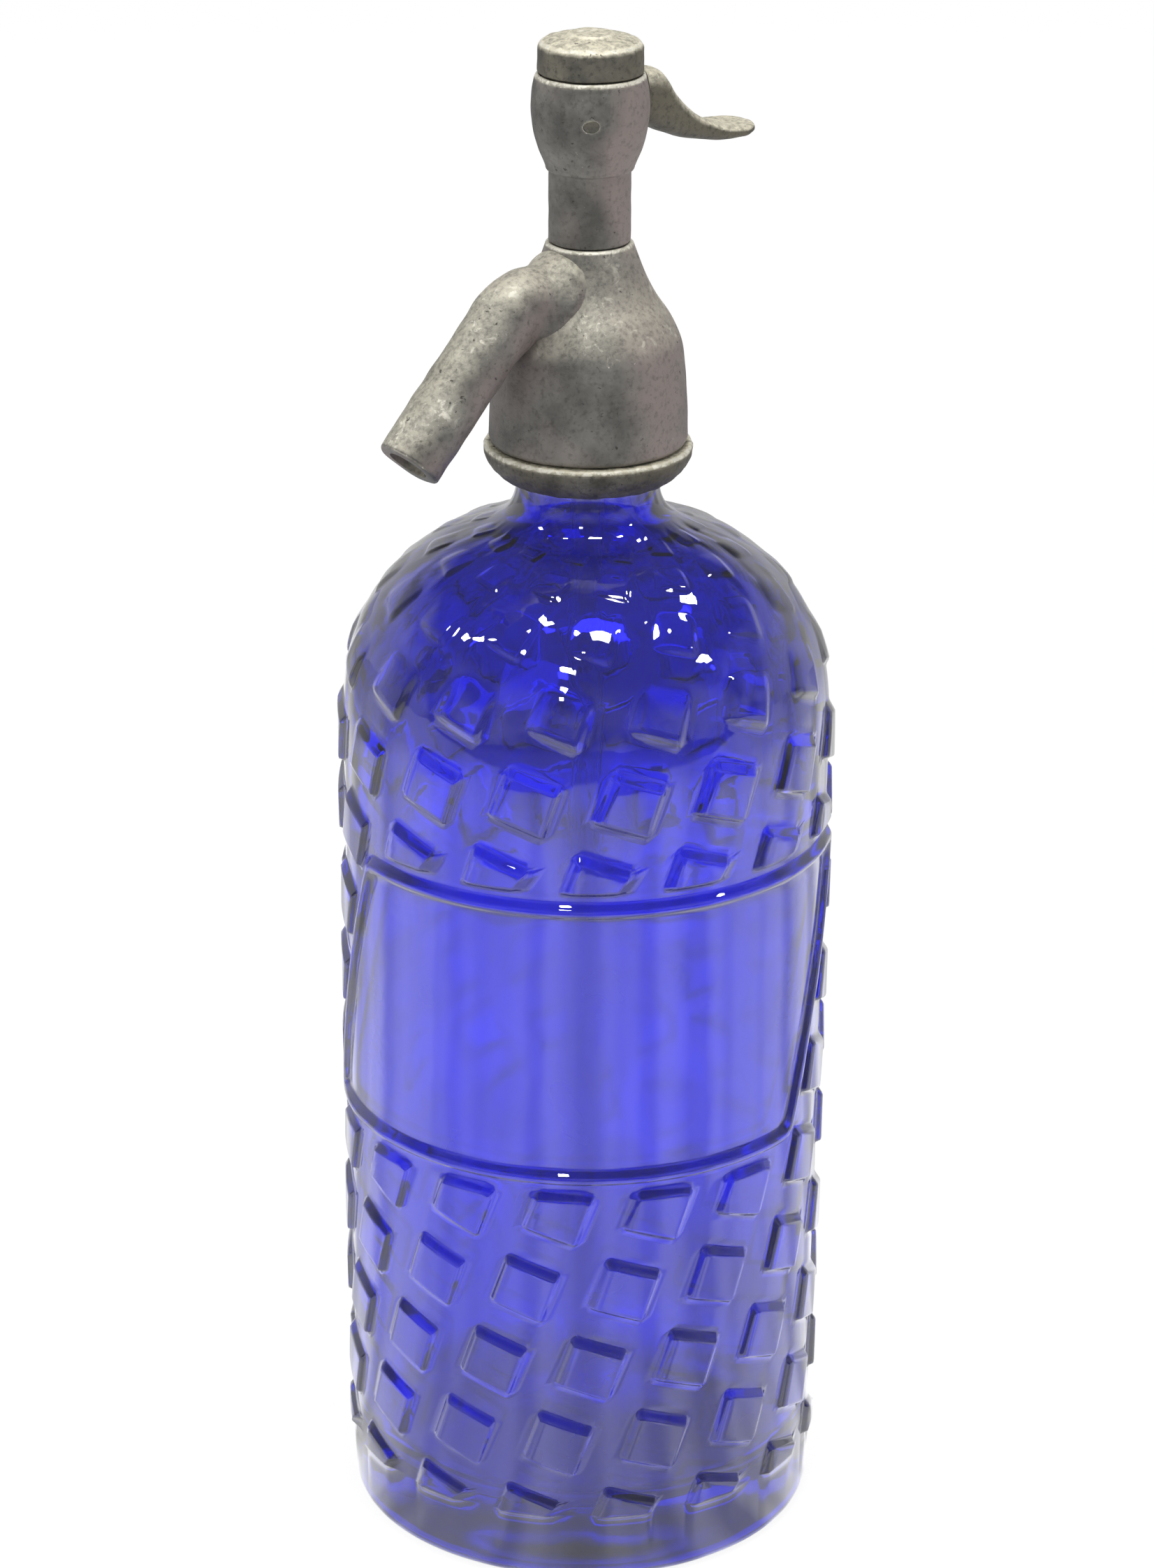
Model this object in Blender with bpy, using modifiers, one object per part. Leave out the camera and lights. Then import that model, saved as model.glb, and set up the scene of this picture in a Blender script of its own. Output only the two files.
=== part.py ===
"""Soda siphon: a thick pressed-glass bottle under a cast metal head with a lever valve.

Units are metres and +Z is up. The origin is the middle of the bottle's foot.
The spout points along -X and the lever along +X, so the lever's pin lies along Y.
Pressing the lever pushes the stem and its rubber washer down, off the seat.
"""
import math

import bmesh
import bpy
import numpy as np
from mathutils import Matrix, Vector

# Fits and cuts that all pieces share
SEAT_GAP = 0.0003
SLIDE_GAP = 0.0003
CUT_OVERRUN = 0.0020
WELD_DISTANCE = 0.00001
ROUND_STEPS = 28
INNER_STEPS = 18
SHARP_EDGE_DEGREES = 32

# Glass bottle
BODY_RADIUS = 0.0488
WALL_TAPER = 0.0012
FOOT_ROUNDING = 0.0032
SHOULDER_START = 0.1720
SHOULDER_RISE = 0.0425
SHOULDER_POWER = 2.35
NECK_RADIUS = 0.0142
NECK_BLEND_REACH = 0.0078
NECK_LENGTH = 0.0185
NECK_STRAIGHT = 0.0057
LIP_HEIGHT = 0.0063
LIP_OVERHANG = 0.0022
LIP_ROUNDING = 0.0009
GLASS_WALL = 0.0048
GLASS_FLOOR = 0.0095
FLOOR_ROUNDING = 0.0090
NECK_BORE_RADIUS = 0.0086
PUNT_RISE = 0.0036
FOOT_RING_WIDTH = 0.0121
CURVE_SAMPLES = 90
CAVITY_RINGS = 5
CAVITY_STEPS = 30

# Raised pads of the glass: a slanting lattice of tilted squares, and the frame of a bare panel
PADS_ROUND = 15
PAD_SIZE = 0.0116
PAD_PROUD = 0.0013
PAD_DRAFT = 0.0011
PAD_TILT_DEGREES = 19.0
ROW_PITCH = 0.0176
ROW_TURN_SHARE = 1 / 3
MIDDLE_ROW_HEIGHT = 0.0840
LOWEST_PAD_EDGE = 0.0150
LEAST_PAD_HEIGHT = 0.0012
PAD_STOP_RADIUS = 0.0180
FRONT_DEGREES = -130.0
PATTERN_TURN_DEGREES = -5.8
PANEL_FIRST_CELL = -3
PANEL_CELLS = 6
PANEL_ROWS = 3
PANEL_RIB_SPACE = 0.0063
PANEL_RIB_WIDTH = 0.0034
PANEL_RIB_PROUD = 0.0014
PANEL_RIB_DRAFT = 0.0007
PANEL_MARGIN = 0.0018

# Split threaded collar that holds the head to the lip
SLEEVE_WALL = 0.0010
COLLAR_FLANGE_OVERHANG = 0.0010
COLLAR_FLANGE_HEIGHT = 0.0042
COLLAR_CONE_HEIGHT = 0.0026
COLLAR_FOOT_WALL = 0.0021
COLLAR_EDGE = 0.0012
SLEEVE_DEPTH_SHARE = 0.84

# Rubber ring on the lip, and the dip tube with its holder and sleeve
GASKET_THICKNESS = 0.0026
GASKET_BORE_CLEARANCE = 0.0006
TUBE_RADIUS = 0.0034
TUBE_BORE_RADIUS = 0.0021
TUBE_FLOOR_CLEARANCE = 0.0045
TUBE_SLEEVE_WALL = 0.0014
TUBE_SLEEVE_LENGTH = 0.0100
HOLDER_TOP_WALL = 0.0014
HOLDER_REACH = 0.0040
HOLDER_FLANGE_THICKNESS = 0.0026
HOLDER_SKIRT_LENGTH = 0.0040
HOLDER_SKIRT_WALL = 0.0012

# Cast head: skirt, bell, valve chamber and spout
SKIRT_WALL = 0.0016
SKIRT_LENGTH = 0.0067
BELL_HEIGHT = 0.0402
CHAMBER_RADIUS = 0.0070
CHAMBER_DEPTH = 0.0141
PASSAGE_RADIUS = 0.0044
SPOUT_RADIUS = 0.0065
SPOUT_BORE_RADIUS = 0.0041
SPOUT_ROOT_DROP = 0.0092
SPOUT_STRAIGHT = 0.0150
SPOUT_BEND_RADIUS = 0.0090
SPOUT_SLOPE_DEGREES = 46.5
SPOUT_REACH = 0.0449
SPOUT_EDGE = 0.0007
SPOUT_BEND_STEPS = 6
# Height share from the skirt's edge to the bell's top, and radius share from its top to its edge
BELL_SHARES = (
    (0.975, 0.03), (0.90, 0.125), (0.80, 0.28), (0.73, 0.42), (0.66, 0.61),
    (0.59, 0.75), (0.53, 0.85), (0.46, 0.905), (0.36, 0.945), (0.24, 0.975), (0.03, 1.0),
)

# Column and cup above the bell, with the lever's slot
COLUMN_RADIUS = 0.0080
COLUMN_HEIGHT = 0.0142
COLUMN_LEDGE = 0.0005
COLUMN_BORE_RADIUS = 0.0062
SPIGOT_LENGTH = 0.0040
SPIGOT_RADIUS = 0.0070
SPIGOT_FLOOR = 0.0016
PACKING_RADIUS = 0.0046
PACKING_DEPTH = 0.0040
CUP_RADIUS = 0.0115
CUP_HEIGHT = 0.0187
CUP_WALL = 0.0017
CUP_CONE_START = 0.0011
CUP_CONE_HEIGHT = 0.0062
RIM_BEVEL = 0.0005
# Height share up the cup, and radius share from the column's radius to the cup's
CUP_SHARES = (
    (0.96, 0.80), (0.88, 0.88), (0.79, 0.96), (0.68, 1.0), (0.57, 0.975),
    (0.45, 0.90), (0.33, 0.77), (0.22, 0.60), (0.11, 0.35),
)

# Screw cap
CAP_RADIUS = 0.0103
CAP_SIDE = 0.0051
CAP_EDGE = 0.0009
CAP_CROWN = 0.0011
CAP_BOSS_RADIUS = 0.0046
CAP_BOSS_HEIGHT = 0.0006
CAP_SPIGOT_LENGTH = 0.0043
CAP_WALL = 0.0020

# Valve: seat, washer, disc, stem, packing, spring and nut
SEAT_THICKNESS = 0.0022
SEAT_BORE_RADIUS = 0.0030
SEAT_RIDGE = 0.0005
STEM_RADIUS = 0.0015
STEM_HOLE_CLEARANCE = 0.0003
STEM_TIP_TAPER = 0.0006
WASHER_RADIUS = 0.0050
WASHER_THICKNESS = 0.0020
DISC_RADIUS = 0.0053
DISC_THICKNESS = 0.0016
DISC_HUB_RADIUS = 0.0030
DISC_HUB_LENGTH = 0.0012
PACKING_NUT_HEIGHT = 0.0034
PACKING_NUT_BEVEL = 0.0005
SPRING_HEIGHT = 0.0103
SPRING_WIRE_RADIUS = 0.00045
SPRING_RADIUS = 0.0039
SPRING_TURNS = 5.5
SPRING_POINTS_PER_TURN = 8
SPRING_SEAT_RADIUS = 0.0052
SPRING_SEAT_THICKNESS = 0.0008
STEM_NUT_RADIUS = 0.0034
STEM_NUT_HEIGHT = 0.0022
STEM_NUT_SIDES = 6

# Lever and its pin
PIVOT_REACH = 0.0071
PIVOT_RISE = 0.0108
PIN_RADIUS = 0.00115
PIN_END_PROUD = 0.0001
TONGUE_HALF_WIDTH = 0.0022
TONGUE_EYE_RADIUS = 0.0021
TONGUE_BELOW = 0.0024
TONGUE_ABOVE = 0.0026
TONGUE_SHOULDER = 0.0031
TONGUE_EYE_STEPS = 10
SLOT_SIDE_CLEARANCE = 0.0004
SLOT_TOP_CLEARANCE = 0.0008
SLOT_DROP = 0.0052
LEVER_REACH = 0.0402
LEVER_WIDTH = 0.0126
LEVER_TOP = 0.0072
LEVER_DROP = 0.0090
LEVER_CUP_CLEARANCE = 0.0004
LEVER_SECTION_POINTS = 12
LEVER_SECTION_POWER = 3.4
# Stations along the handle: reach share from the cup to the tip, then shares of LEVER_TOP above
# the pin and LEVER_DROP below it for the upper and lower edge, and the width share
LEVER_SHARES = (
    (0.00, 0.97, -0.24, 0.72), (0.10, 0.99, -0.44, 0.76), (0.185, 0.96, -0.59, 0.77),
    (0.225, 0.78, -0.66, 0.77), (0.27, 0.43, -0.72, 0.77), (0.32, 0.17, -0.78, 0.77),
    (0.38, -0.08, -0.84, 0.77), (0.455, -0.29, -0.89, 0.78), (0.54, -0.478, -0.93, 0.81),
    (0.635, -0.64, -0.975, 0.87), (0.735, -0.755, -1.0, 0.95), (0.84, -0.81, -0.985, 1.0),
    (0.925, -0.817, -0.95, 0.82), (0.975, -0.825, -0.905, 0.52), (1.0, -0.84, -0.88, 0.22),
)

# Heights and radii that follow from the sizes above
neck_radius = NECK_RADIUS
foot_radius = BODY_RADIUS - WALL_TAPER
lip_radius = NECK_RADIUS + LIP_OVERHANG
lip_top = SHOULDER_START + SHOULDER_RISE + NECK_LENGTH
lip_underside = lip_top - LIP_HEIGHT
blend_top = lip_underside - NECK_STRAIGHT
glass_floor_top = PUNT_RISE + GLASS_FLOOR
head_face = lip_top + SEAT_GAP + GASKET_THICKNESS + SEAT_GAP
skirt_foot = head_face - SKIRT_LENGTH
sleeve_radius = lip_radius + SEAT_GAP + SLEEVE_WALL
skirt_bore_radius = sleeve_radius + SEAT_GAP
bell_radius = skirt_bore_radius + SKIRT_WALL
bell_top = skirt_foot + BELL_HEIGHT
bell_top_radius = COLUMN_RADIUS + COLUMN_LEDGE
chamber_top = head_face + CHAMBER_DEPTH
column_foot = bell_top + SEAT_GAP
spigot_foot = column_foot - SPIGOT_LENGTH
column_top = column_foot + COLUMN_HEIGHT
cup_rim = column_top + CUP_HEIGHT
cup_bore_radius = CUP_RADIUS - CUP_WALL
packing_floor = spigot_foot + SPIGOT_FLOOR
packing_top = packing_floor + PACKING_DEPTH
packing_nut_foot = packing_top + SEAT_GAP
spring_foot = packing_nut_foot + PACKING_NUT_HEIGHT + SEAT_GAP
spring_seat_foot = spring_foot + SPRING_HEIGHT + SEAT_GAP
stem_nut_foot = spring_seat_foot + SPRING_SEAT_THICKNESS + SEAT_GAP
pivot = Vector((-PIVOT_REACH, 0, column_top + PIVOT_RISE))
stem_top = pivot.z - TONGUE_BELOW - SEAT_GAP
stem_hole_radius = STEM_RADIUS + STEM_HOLE_CLEARANCE
seat_foot = chamber_top - SEAT_GAP - SEAT_THICKNESS
washer_top = seat_foot - SEAT_GAP
disc_top = washer_top - WASHER_THICKNESS - SEAT_GAP
stem_foot = disc_top - DISC_THICKNESS - DISC_HUB_LENGTH
holder_top = head_face + HOLDER_REACH
tube_sleeve_radius = TUBE_RADIUS + SEAT_GAP + TUBE_SLEEVE_WALL
holder_bore_radius = tube_sleeve_radius + SEAT_GAP
tube_top = holder_top - HOLDER_TOP_WALL - SEAT_GAP
pitch_angle = 2 * math.pi / PADS_ROUND
pad_half_angle = PAD_SIZE / 2 / BODY_RADIUS
row_angle = ROW_PITCH / BODY_RADIUS
pad_tilt = math.radians(PAD_TILT_DEGREES)


def clear_scene():
    for obj in list(bpy.data.objects):
        bpy.data.objects.remove(obj, do_unlink=True)


def new_collection(name):
    collection = bpy.data.collections.new(name)
    bpy.context.scene.collection.children.link(collection)
    return collection


clear_scene()
parts = new_collection("soda_siphon")
cutters = new_collection("cutters")


def make_material(name, colour, metallic, roughness, transmission=0.0):
    material = bpy.data.materials.new(name)
    material.use_nodes = True
    shader = material.node_tree.nodes["Principled BSDF"]
    shader.inputs["Base Color"].default_value = (*colour, 1.0)
    shader.inputs["Metallic"].default_value = metallic
    shader.inputs["Roughness"].default_value = roughness
    shader.inputs["Transmission Weight"].default_value = transmission
    material.diffuse_color = (*colour, 1.0)
    return material


def make_empty(name, place):
    empty = bpy.data.objects.new(name, None)
    empty.location = place
    empty.empty_display_size = BODY_RADIUS
    parts.objects.link(empty)
    return empty


def evaluated_mesh(obj):
    """The object's shape with its modifiers, or a curve's tube, as one welded mesh."""
    bpy.context.view_layer.update()
    graph = bpy.context.evaluated_depsgraph_get()
    mesh = bpy.data.meshes.new_from_object(obj.evaluated_get(graph))
    shape = bmesh.new()
    shape.from_mesh(mesh)
    bmesh.ops.remove_doubles(shape, verts=shape.verts, dist=WELD_DISTANCE)
    shape.to_mesh(mesh)
    shape.free()
    return mesh


def new_object(name, mesh, collection=parts):
    obj = bpy.data.objects.new(name, mesh)
    collection.objects.link(obj)
    return obj


def turned(name, profile, steps=ROUND_STEPS, closed=True):
    """Spin a profile of (radius, height) points round Z.

    A closed profile makes a ring, and an open one starts and ends on the axis. Either runs
    down its outer side.
    """
    count = len(profile)
    edges = [(i, i + 1) for i in range(count - 1)]
    if closed:
        edges.append((count - 1, 0))
    mesh = bpy.data.meshes.new(name)
    mesh.from_pydata([(radius, 0, height) for radius, height in profile], edges, [])
    obj = new_object(name, mesh)
    screw = obj.modifiers.new("turn", "SCREW")
    screw.steps = steps
    screw.render_steps = steps
    screw.use_merge_vertices = True
    screw.merge_threshold = WELD_DISTANCE
    obj.data = evaluated_mesh(obj)
    obj.modifiers.clear()
    return obj


def ring(name, inner, outer, bottom, top, bevel=0.0, steps=INNER_STEPS):
    """A turned ring of rectangular section, with an optional bevel on its outer edges."""
    profile = [(inner, top)]
    if bevel:
        profile += [(outer - bevel, top), (outer, top - bevel), (outer, bottom + bevel),
                    (outer - bevel, bottom)]
    else:
        profile += [(outer, top), (outer, bottom)]
    profile.append((inner, bottom))
    return turned(name, profile, steps)


def combine(obj, other, operation):
    """Boolean obj with other, which is used up."""
    other.hide_render = True
    other.display_type = "WIRE"
    for collection in list(other.users_collection):
        collection.objects.unlink(other)
    cutters.objects.link(other)
    boolean = obj.modifiers.new(operation.lower(), "BOOLEAN")
    boolean.operation = operation
    boolean.solver = "EXACT"
    boolean.object = other
    obj.data = evaluated_mesh(obj)
    obj.modifiers.clear()
    bpy.data.objects.remove(other, do_unlink=True)


def box(name, low, high):
    mesh = bpy.data.meshes.new(name)
    shape = bmesh.new()
    bmesh.ops.create_cube(shape, size=1)
    for vert in shape.verts:
        vert.co = Vector([(low[i] + high[i]) / 2 + vert.co[i] * (high[i] - low[i]) for i in range(3)])
    shape.to_mesh(mesh)
    shape.free()
    return new_object(name, mesh)


def rod_along_y(name, radius, half_length, centre, steps=INNER_STEPS):
    """A cylinder along Y, for the lever's pin and the holes that it needs."""
    mesh = bpy.data.meshes.new(name)
    shape = bmesh.new()
    bmesh.ops.create_cone(shape, cap_ends=True, segments=steps, radius1=radius, radius2=radius,
                          depth=2 * half_length)
    for vert in shape.verts:
        vert.co = Vector((vert.co.x, -vert.co.z, vert.co.y)) + centre
    shape.to_mesh(mesh)
    shape.free()
    return new_object(name, mesh)


def tube_along(name, points, radius, end_share=1.0, resolution=6):
    """A round bar along points, as a mesh; end_share narrows its last point."""
    curve = bpy.data.curves.new(name, "CURVE")
    curve.dimensions = "3D"
    curve.bevel_depth = radius
    curve.bevel_resolution = resolution
    curve.use_fill_caps = True
    spline = curve.splines.new("POLY")
    spline.points.add(len(points) - 1)
    for point, place in zip(spline.points, points):
        point.co = (*place, 1)
    spline.points[-1].radius = end_share
    bar = bpy.data.objects.new(name, curve)
    parts.objects.link(bar)
    mesh = evaluated_mesh(bar)
    bpy.data.objects.remove(bar, do_unlink=True)
    return new_object(name, mesh)


def finish(obj, material, holder):
    """Name the mesh, point its faces out, shade it, and hang the piece on its holder."""
    shape = bmesh.new()
    shape.from_mesh(obj.data)
    bmesh.ops.recalc_face_normals(shape, faces=shape.faces)
    shape.to_mesh(obj.data)
    shape.free()
    obj.data.name = obj.name
    obj.data.shade_smooth()
    obj.data.set_sharp_from_angle(angle=math.radians(SHARP_EDGE_DEGREES))
    obj.data.materials.clear()
    obj.data.materials.append(material)
    obj.data.transform(holder.matrix_world.inverted())
    obj.parent = holder
    return obj


def glass_curve(inset, neck, low):
    """Radius and height of the glass from height low to the neck, moved inwards by inset.

    The wall tapers to the foot, the shoulder is a superellipse, and a parabola turns it up
    into the neck.
    """
    body = BODY_RADIUS - inset
    foot = foot_radius - inset
    rise = SHOULDER_RISE - inset
    blend = neck + NECK_BLEND_REACH
    share = np.linspace(0, 1, CURVE_SAMPLES)
    wall_height = low + (SHOULDER_START - low) * share
    wall_radius = foot + (body - foot) * wall_height / SHOULDER_START
    power = 2 / SHOULDER_POWER
    last_angle = math.acos((blend / body) ** (1 / power))
    angle = last_angle * share
    dome_radius = body * np.cos(angle) ** power
    dome_height = SHOULDER_START + rise * np.sin(angle) ** power
    slope = (dome_height[-1] - dome_height[-2]) / (dome_radius[-2] - dome_radius[-1])
    corner = dome_height[-1] + slope * (blend - neck)
    blend_radius = blend * (1 - share) ** 2 + neck * (1 - (1 - share) ** 2)
    blend_height = (dome_height[-1] * (1 - share) ** 2 + corner * 2 * share * (1 - share)
                    + blend_top * share ** 2)
    radius = np.concatenate([wall_radius, dome_radius[1:], blend_radius[1:]])
    height = np.concatenate([wall_height, dome_height[1:], blend_height[1:]])
    return radius, height


def bottle_columns():
    """The upright lines of the glass mesh: (cell, place across the cell).

    Place -1 and +1 are a pad's left and right edge. A place between 0 and 1 is a share of the
    gap to the next pad; the two gaps that carry the panel's side ribs have a line at each side
    of the rib.
    """
    rib_share = PANEL_RIB_WIDTH / 2 / BODY_RADIUS / (pitch_angle - 2 * pad_half_angle)
    rib_cells = (PANEL_FIRST_CELL - 1, PANEL_FIRST_CELL + PANEL_CELLS - 1)
    columns = []
    for cell in range(rib_cells[0], rib_cells[0] + PADS_ROUND):
        columns += [(cell, -1), (cell, 1)]
        if cell in rib_cells:
            columns += [(cell, 0.5 - rib_share), (cell, 0.5 + rib_share)]
        else:
            columns.append((cell, 0.5))
    return columns


def pad_corner(row, cell, side, end):
    """Angle and surface coordinate of a pad's corner: side -1 left, +1 right; end -1 low, +1 high."""
    turn = math.radians(PATTERN_TURN_DEGREES) + pitch_angle * (cell + ROW_TURN_SHARE * row)
    angle = turn + pad_half_angle * (side * math.cos(pad_tilt) + end * math.sin(pad_tilt))
    along = row_angle * row + pad_half_angle * (end * math.cos(pad_tilt) - side * math.sin(pad_tilt))
    return np.array((angle, along))


def make_bottle(holder, glass):
    """Pressed glass bottle: pads stand out of a round shoulder, and a frame holds a bare panel.

    Angle and surface coordinate form a square-meshed map of the glass: the coordinate is the
    length along the outline over the radius, so a square on the map stays square on the glass
    and shrinks towards the neck.
    """
    radius, height = glass_curve(0, neck_radius, FOOT_ROUNDING)
    step = np.hypot(np.diff(radius), np.diff(height)) * 2 / (radius[1:] + radius[:-1])
    along = np.concatenate([[0], np.cumsum(step)])
    along -= np.interp(MIDDLE_ROW_HEIGHT, height, along)

    def along_at(level):
        return np.interp(level, height, along)

    columns = bottle_columns()
    count = len(columns)
    rib_start = columns.index(next(c for c in columns if 0 < c[1] < 0.5))
    panel_end_cell = PANEL_FIRST_CELL + PANEL_CELLS - 1
    rib_end = max(i for i, c in enumerate(columns) if c[0] == panel_end_cell)
    in_panel = np.array([rib_start <= i <= rib_end for i in range(count)])

    def pattern_ring(row, end):
        line = []
        for cell, place in columns:
            if abs(place) == 1:
                line.append(pad_corner(row, cell, place, end))
            else:
                right = pad_corner(row, cell, 1, end)
                left = pad_corner(row, cell + 1, -1, end)
                line.append(right + (left - right) * place)
        return np.array(line)

    rings = []
    pad_bands = {}
    frame_bands = []
    rib_width = PANEL_RIB_WIDTH / BODY_RADIUS
    rib_space = PANEL_RIB_SPACE / BODY_RADIUS
    low_rib = (rib_space, rib_space + rib_width)
    high_rib = ((PANEL_ROWS + 1) * row_angle - rib_space, (PANEL_ROWS + 1) * row_angle - rib_space + rib_width)
    lowest_edge = along_at(LOWEST_PAD_EDGE)
    low_corner = pad_half_angle * (math.cos(pad_tilt) - math.sin(pad_tilt))
    high_corner = pad_half_angle * (math.cos(pad_tilt) + math.sin(pad_tilt))
    stop = np.interp(-PAD_STOP_RADIUS, -radius[CURVE_SAMPLES:], along[CURVE_SAMPLES:])
    first_row = math.ceil((lowest_edge + LEAST_PAD_HEIGHT / BODY_RADIUS - low_corner) / row_angle)
    last_row = math.floor((stop - high_corner) / row_angle)
    print("bottle rows of pads:", first_row, "to", last_row)

    def rib_rings(below, above, levels):
        """Two rings between pattern rings: level under the panel, shared out elsewhere."""
        for share, level in zip((1 / 3, 2 / 3), levels):
            line = below + (above - below) * share
            part = (level - below[:, 1]) / (above[:, 1] - below[:, 1])
            straight = below + (above - below) * part[:, None]
            line[in_panel] = straight[in_panel]
            rings.append(line)

    for row in range(first_row, last_row + 1):
        low = pattern_ring(row, -1)
        high = pattern_ring(row, 1)
        if row == first_row:
            low[:, 1] = np.maximum(low[:, 1], lowest_edge)
        if row == 0:
            limit = low_rib[0] - PANEL_MARGIN / BODY_RADIUS
            high[in_panel, 1] = np.minimum(high[in_panel, 1], limit)
        if row == PANEL_ROWS + 1:
            limit = high_rib[1] + PANEL_MARGIN / BODY_RADIUS
            low[in_panel, 1] = np.maximum(low[in_panel, 1], limit)
        if row == 1:
            frame_bands.append(len(rings))
            rib_rings(rings[-1], low, low_rib)
        if row == PANEL_ROWS + 1:
            frame_bands.append(len(rings))
            rib_rings(rings[-1], low, high_rib)
        pad_bands[row] = len(rings)
        rings += [low, high]

    plain_angle = rings[-1][:, 0]
    base_angle = rings[0][:, 0]
    turn = math.radians(FRONT_DEGREES)
    levels = []
    for line in rings:
        levels.append((line[:, 0] + turn, np.interp(line[:, 1], along, radius),
                       np.interp(line[:, 1], along, height)))
    heel = [math.radians(a) for a in (0, 30, 60, 90)]
    foot = [(base_angle + turn, foot_radius - FOOT_ROUNDING * (1 - math.cos(a)),
             FOOT_ROUNDING * (1 - math.sin(a))) for a in reversed(heel)]
    last = rings[-1][:, 1].max()
    neck = []
    for share in (0.2, 0.45, 0.7, 1.0):
        level = last + (along[-1] - last) * share
        neck.append((plain_angle + turn, np.interp(level, along, radius), np.interp(level, along, height)))
    for lip_r, lip_z in (
            (neck_radius, lip_underside - LIP_OVERHANG / 2), (lip_radius, lip_underside + LIP_OVERHANG / 2),
            (lip_radius, lip_top - LIP_ROUNDING), (lip_radius - LIP_ROUNDING, lip_top)):
        neck.append((plain_angle + turn, lip_r, lip_z))

    levels = foot + levels + neck
    first_pattern = len(foot)
    verts = np.concatenate([
        np.stack([r * np.cos(a), r * np.sin(a), z + 0 * a], axis=1) for a, r, z in levels])
    shape = bmesh.new()
    points = [shape.verts.new(co) for co in verts]
    faces = {}
    for band in range(len(levels) - 1):
        for column in range(count):
            after = (column + 1) % count
            a, b = band * count, (band + 1) * count
            faces[band, column] = shape.faces.new(
                (points[a + column], points[a + after], points[b + after], points[b + column]))
    shape.faces.new(points[count - 1::-1])
    shape.faces.new(points[-count:])
    shape.normal_update()

    panel_cells = range(PANEL_FIRST_CELL, PANEL_FIRST_CELL + PANEL_CELLS)
    for row, band in pad_bands.items():
        pads = [faces[first_pattern + band, i] for i, (cell, place) in enumerate(columns)
                if place == -1 and not (1 <= row <= PANEL_ROWS and cell in panel_cells)]
        size = float(np.interp(row_angle * row, along, radius)) / BODY_RADIUS
        bmesh.ops.inset_individual(shape, faces=pads, thickness=PAD_DRAFT * size,
                                   depth=PAD_PROUD * size, use_even_offset=True)
    low_band, high_band = (first_pattern + band for band in frame_bands)
    frame = [faces[band, column] for band in (low_band, high_band)
             for column in range(rib_start, rib_end)]
    frame += [faces[band, column] for band in range(low_band + 1, high_band)
              for column in (rib_start, rib_end - 1)]
    bmesh.ops.inset_region(shape, faces=frame, thickness=PANEL_RIB_DRAFT, depth=PANEL_RIB_PROUD,
                           use_boundary=True, use_even_offset=True)
    mesh = bpy.data.meshes.new("bottle")
    shape.to_mesh(mesh)
    shape.free()
    bottle = new_object("bottle", mesh)
    combine(bottle, bottle_cavity(), "DIFFERENCE")
    combine(bottle, bottle_punt(), "DIFFERENCE")
    return finish(bottle, glass, holder)


def bottle_cavity():
    """The inside of the bottle, open through the neck."""
    radius, height = glass_curve(GLASS_WALL, NECK_BORE_RADIUS, glass_floor_top + FLOOR_ROUNDING)
    pick = [0]
    for part in range(1, 3):
        pick += [round(part * (CURVE_SAMPLES - 1) + (CURVE_SAMPLES - 1) * i / CAVITY_RINGS)
                 for i in range(CAVITY_RINGS)]
    pick.append(len(radius) - 1)
    profile = [(0, lip_top + CUT_OVERRUN), (NECK_BORE_RADIUS, lip_top + CUT_OVERRUN)]
    profile += [(radius[i], height[i]) for i in reversed(pick)]
    corner = radius[0] - FLOOR_ROUNDING
    for degrees in (30, 60, 90):
        turn = math.radians(degrees)
        profile.append((corner + FLOOR_ROUNDING * math.cos(turn),
                        glass_floor_top + FLOOR_ROUNDING * (1 - math.sin(turn))))
    profile.append((0, glass_floor_top))
    return turned("bottle_cavity", profile, CAVITY_STEPS, closed=False)


def bottle_punt():
    """The hollow pressed into the bottle's underside."""
    punt_radius = foot_radius - FOOT_RING_WIDTH
    profile = [(0, PUNT_RISE)]
    for share in (0.35, 0.7, 1.0):
        profile.append((punt_radius * share, PUNT_RISE * (1 - share ** 2)))
    profile += [(punt_radius, -CUT_OVERRUN), (0, -CUT_OVERRUN)]
    return turned("bottle_punt", profile, CAVITY_STEPS, closed=False)


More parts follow.
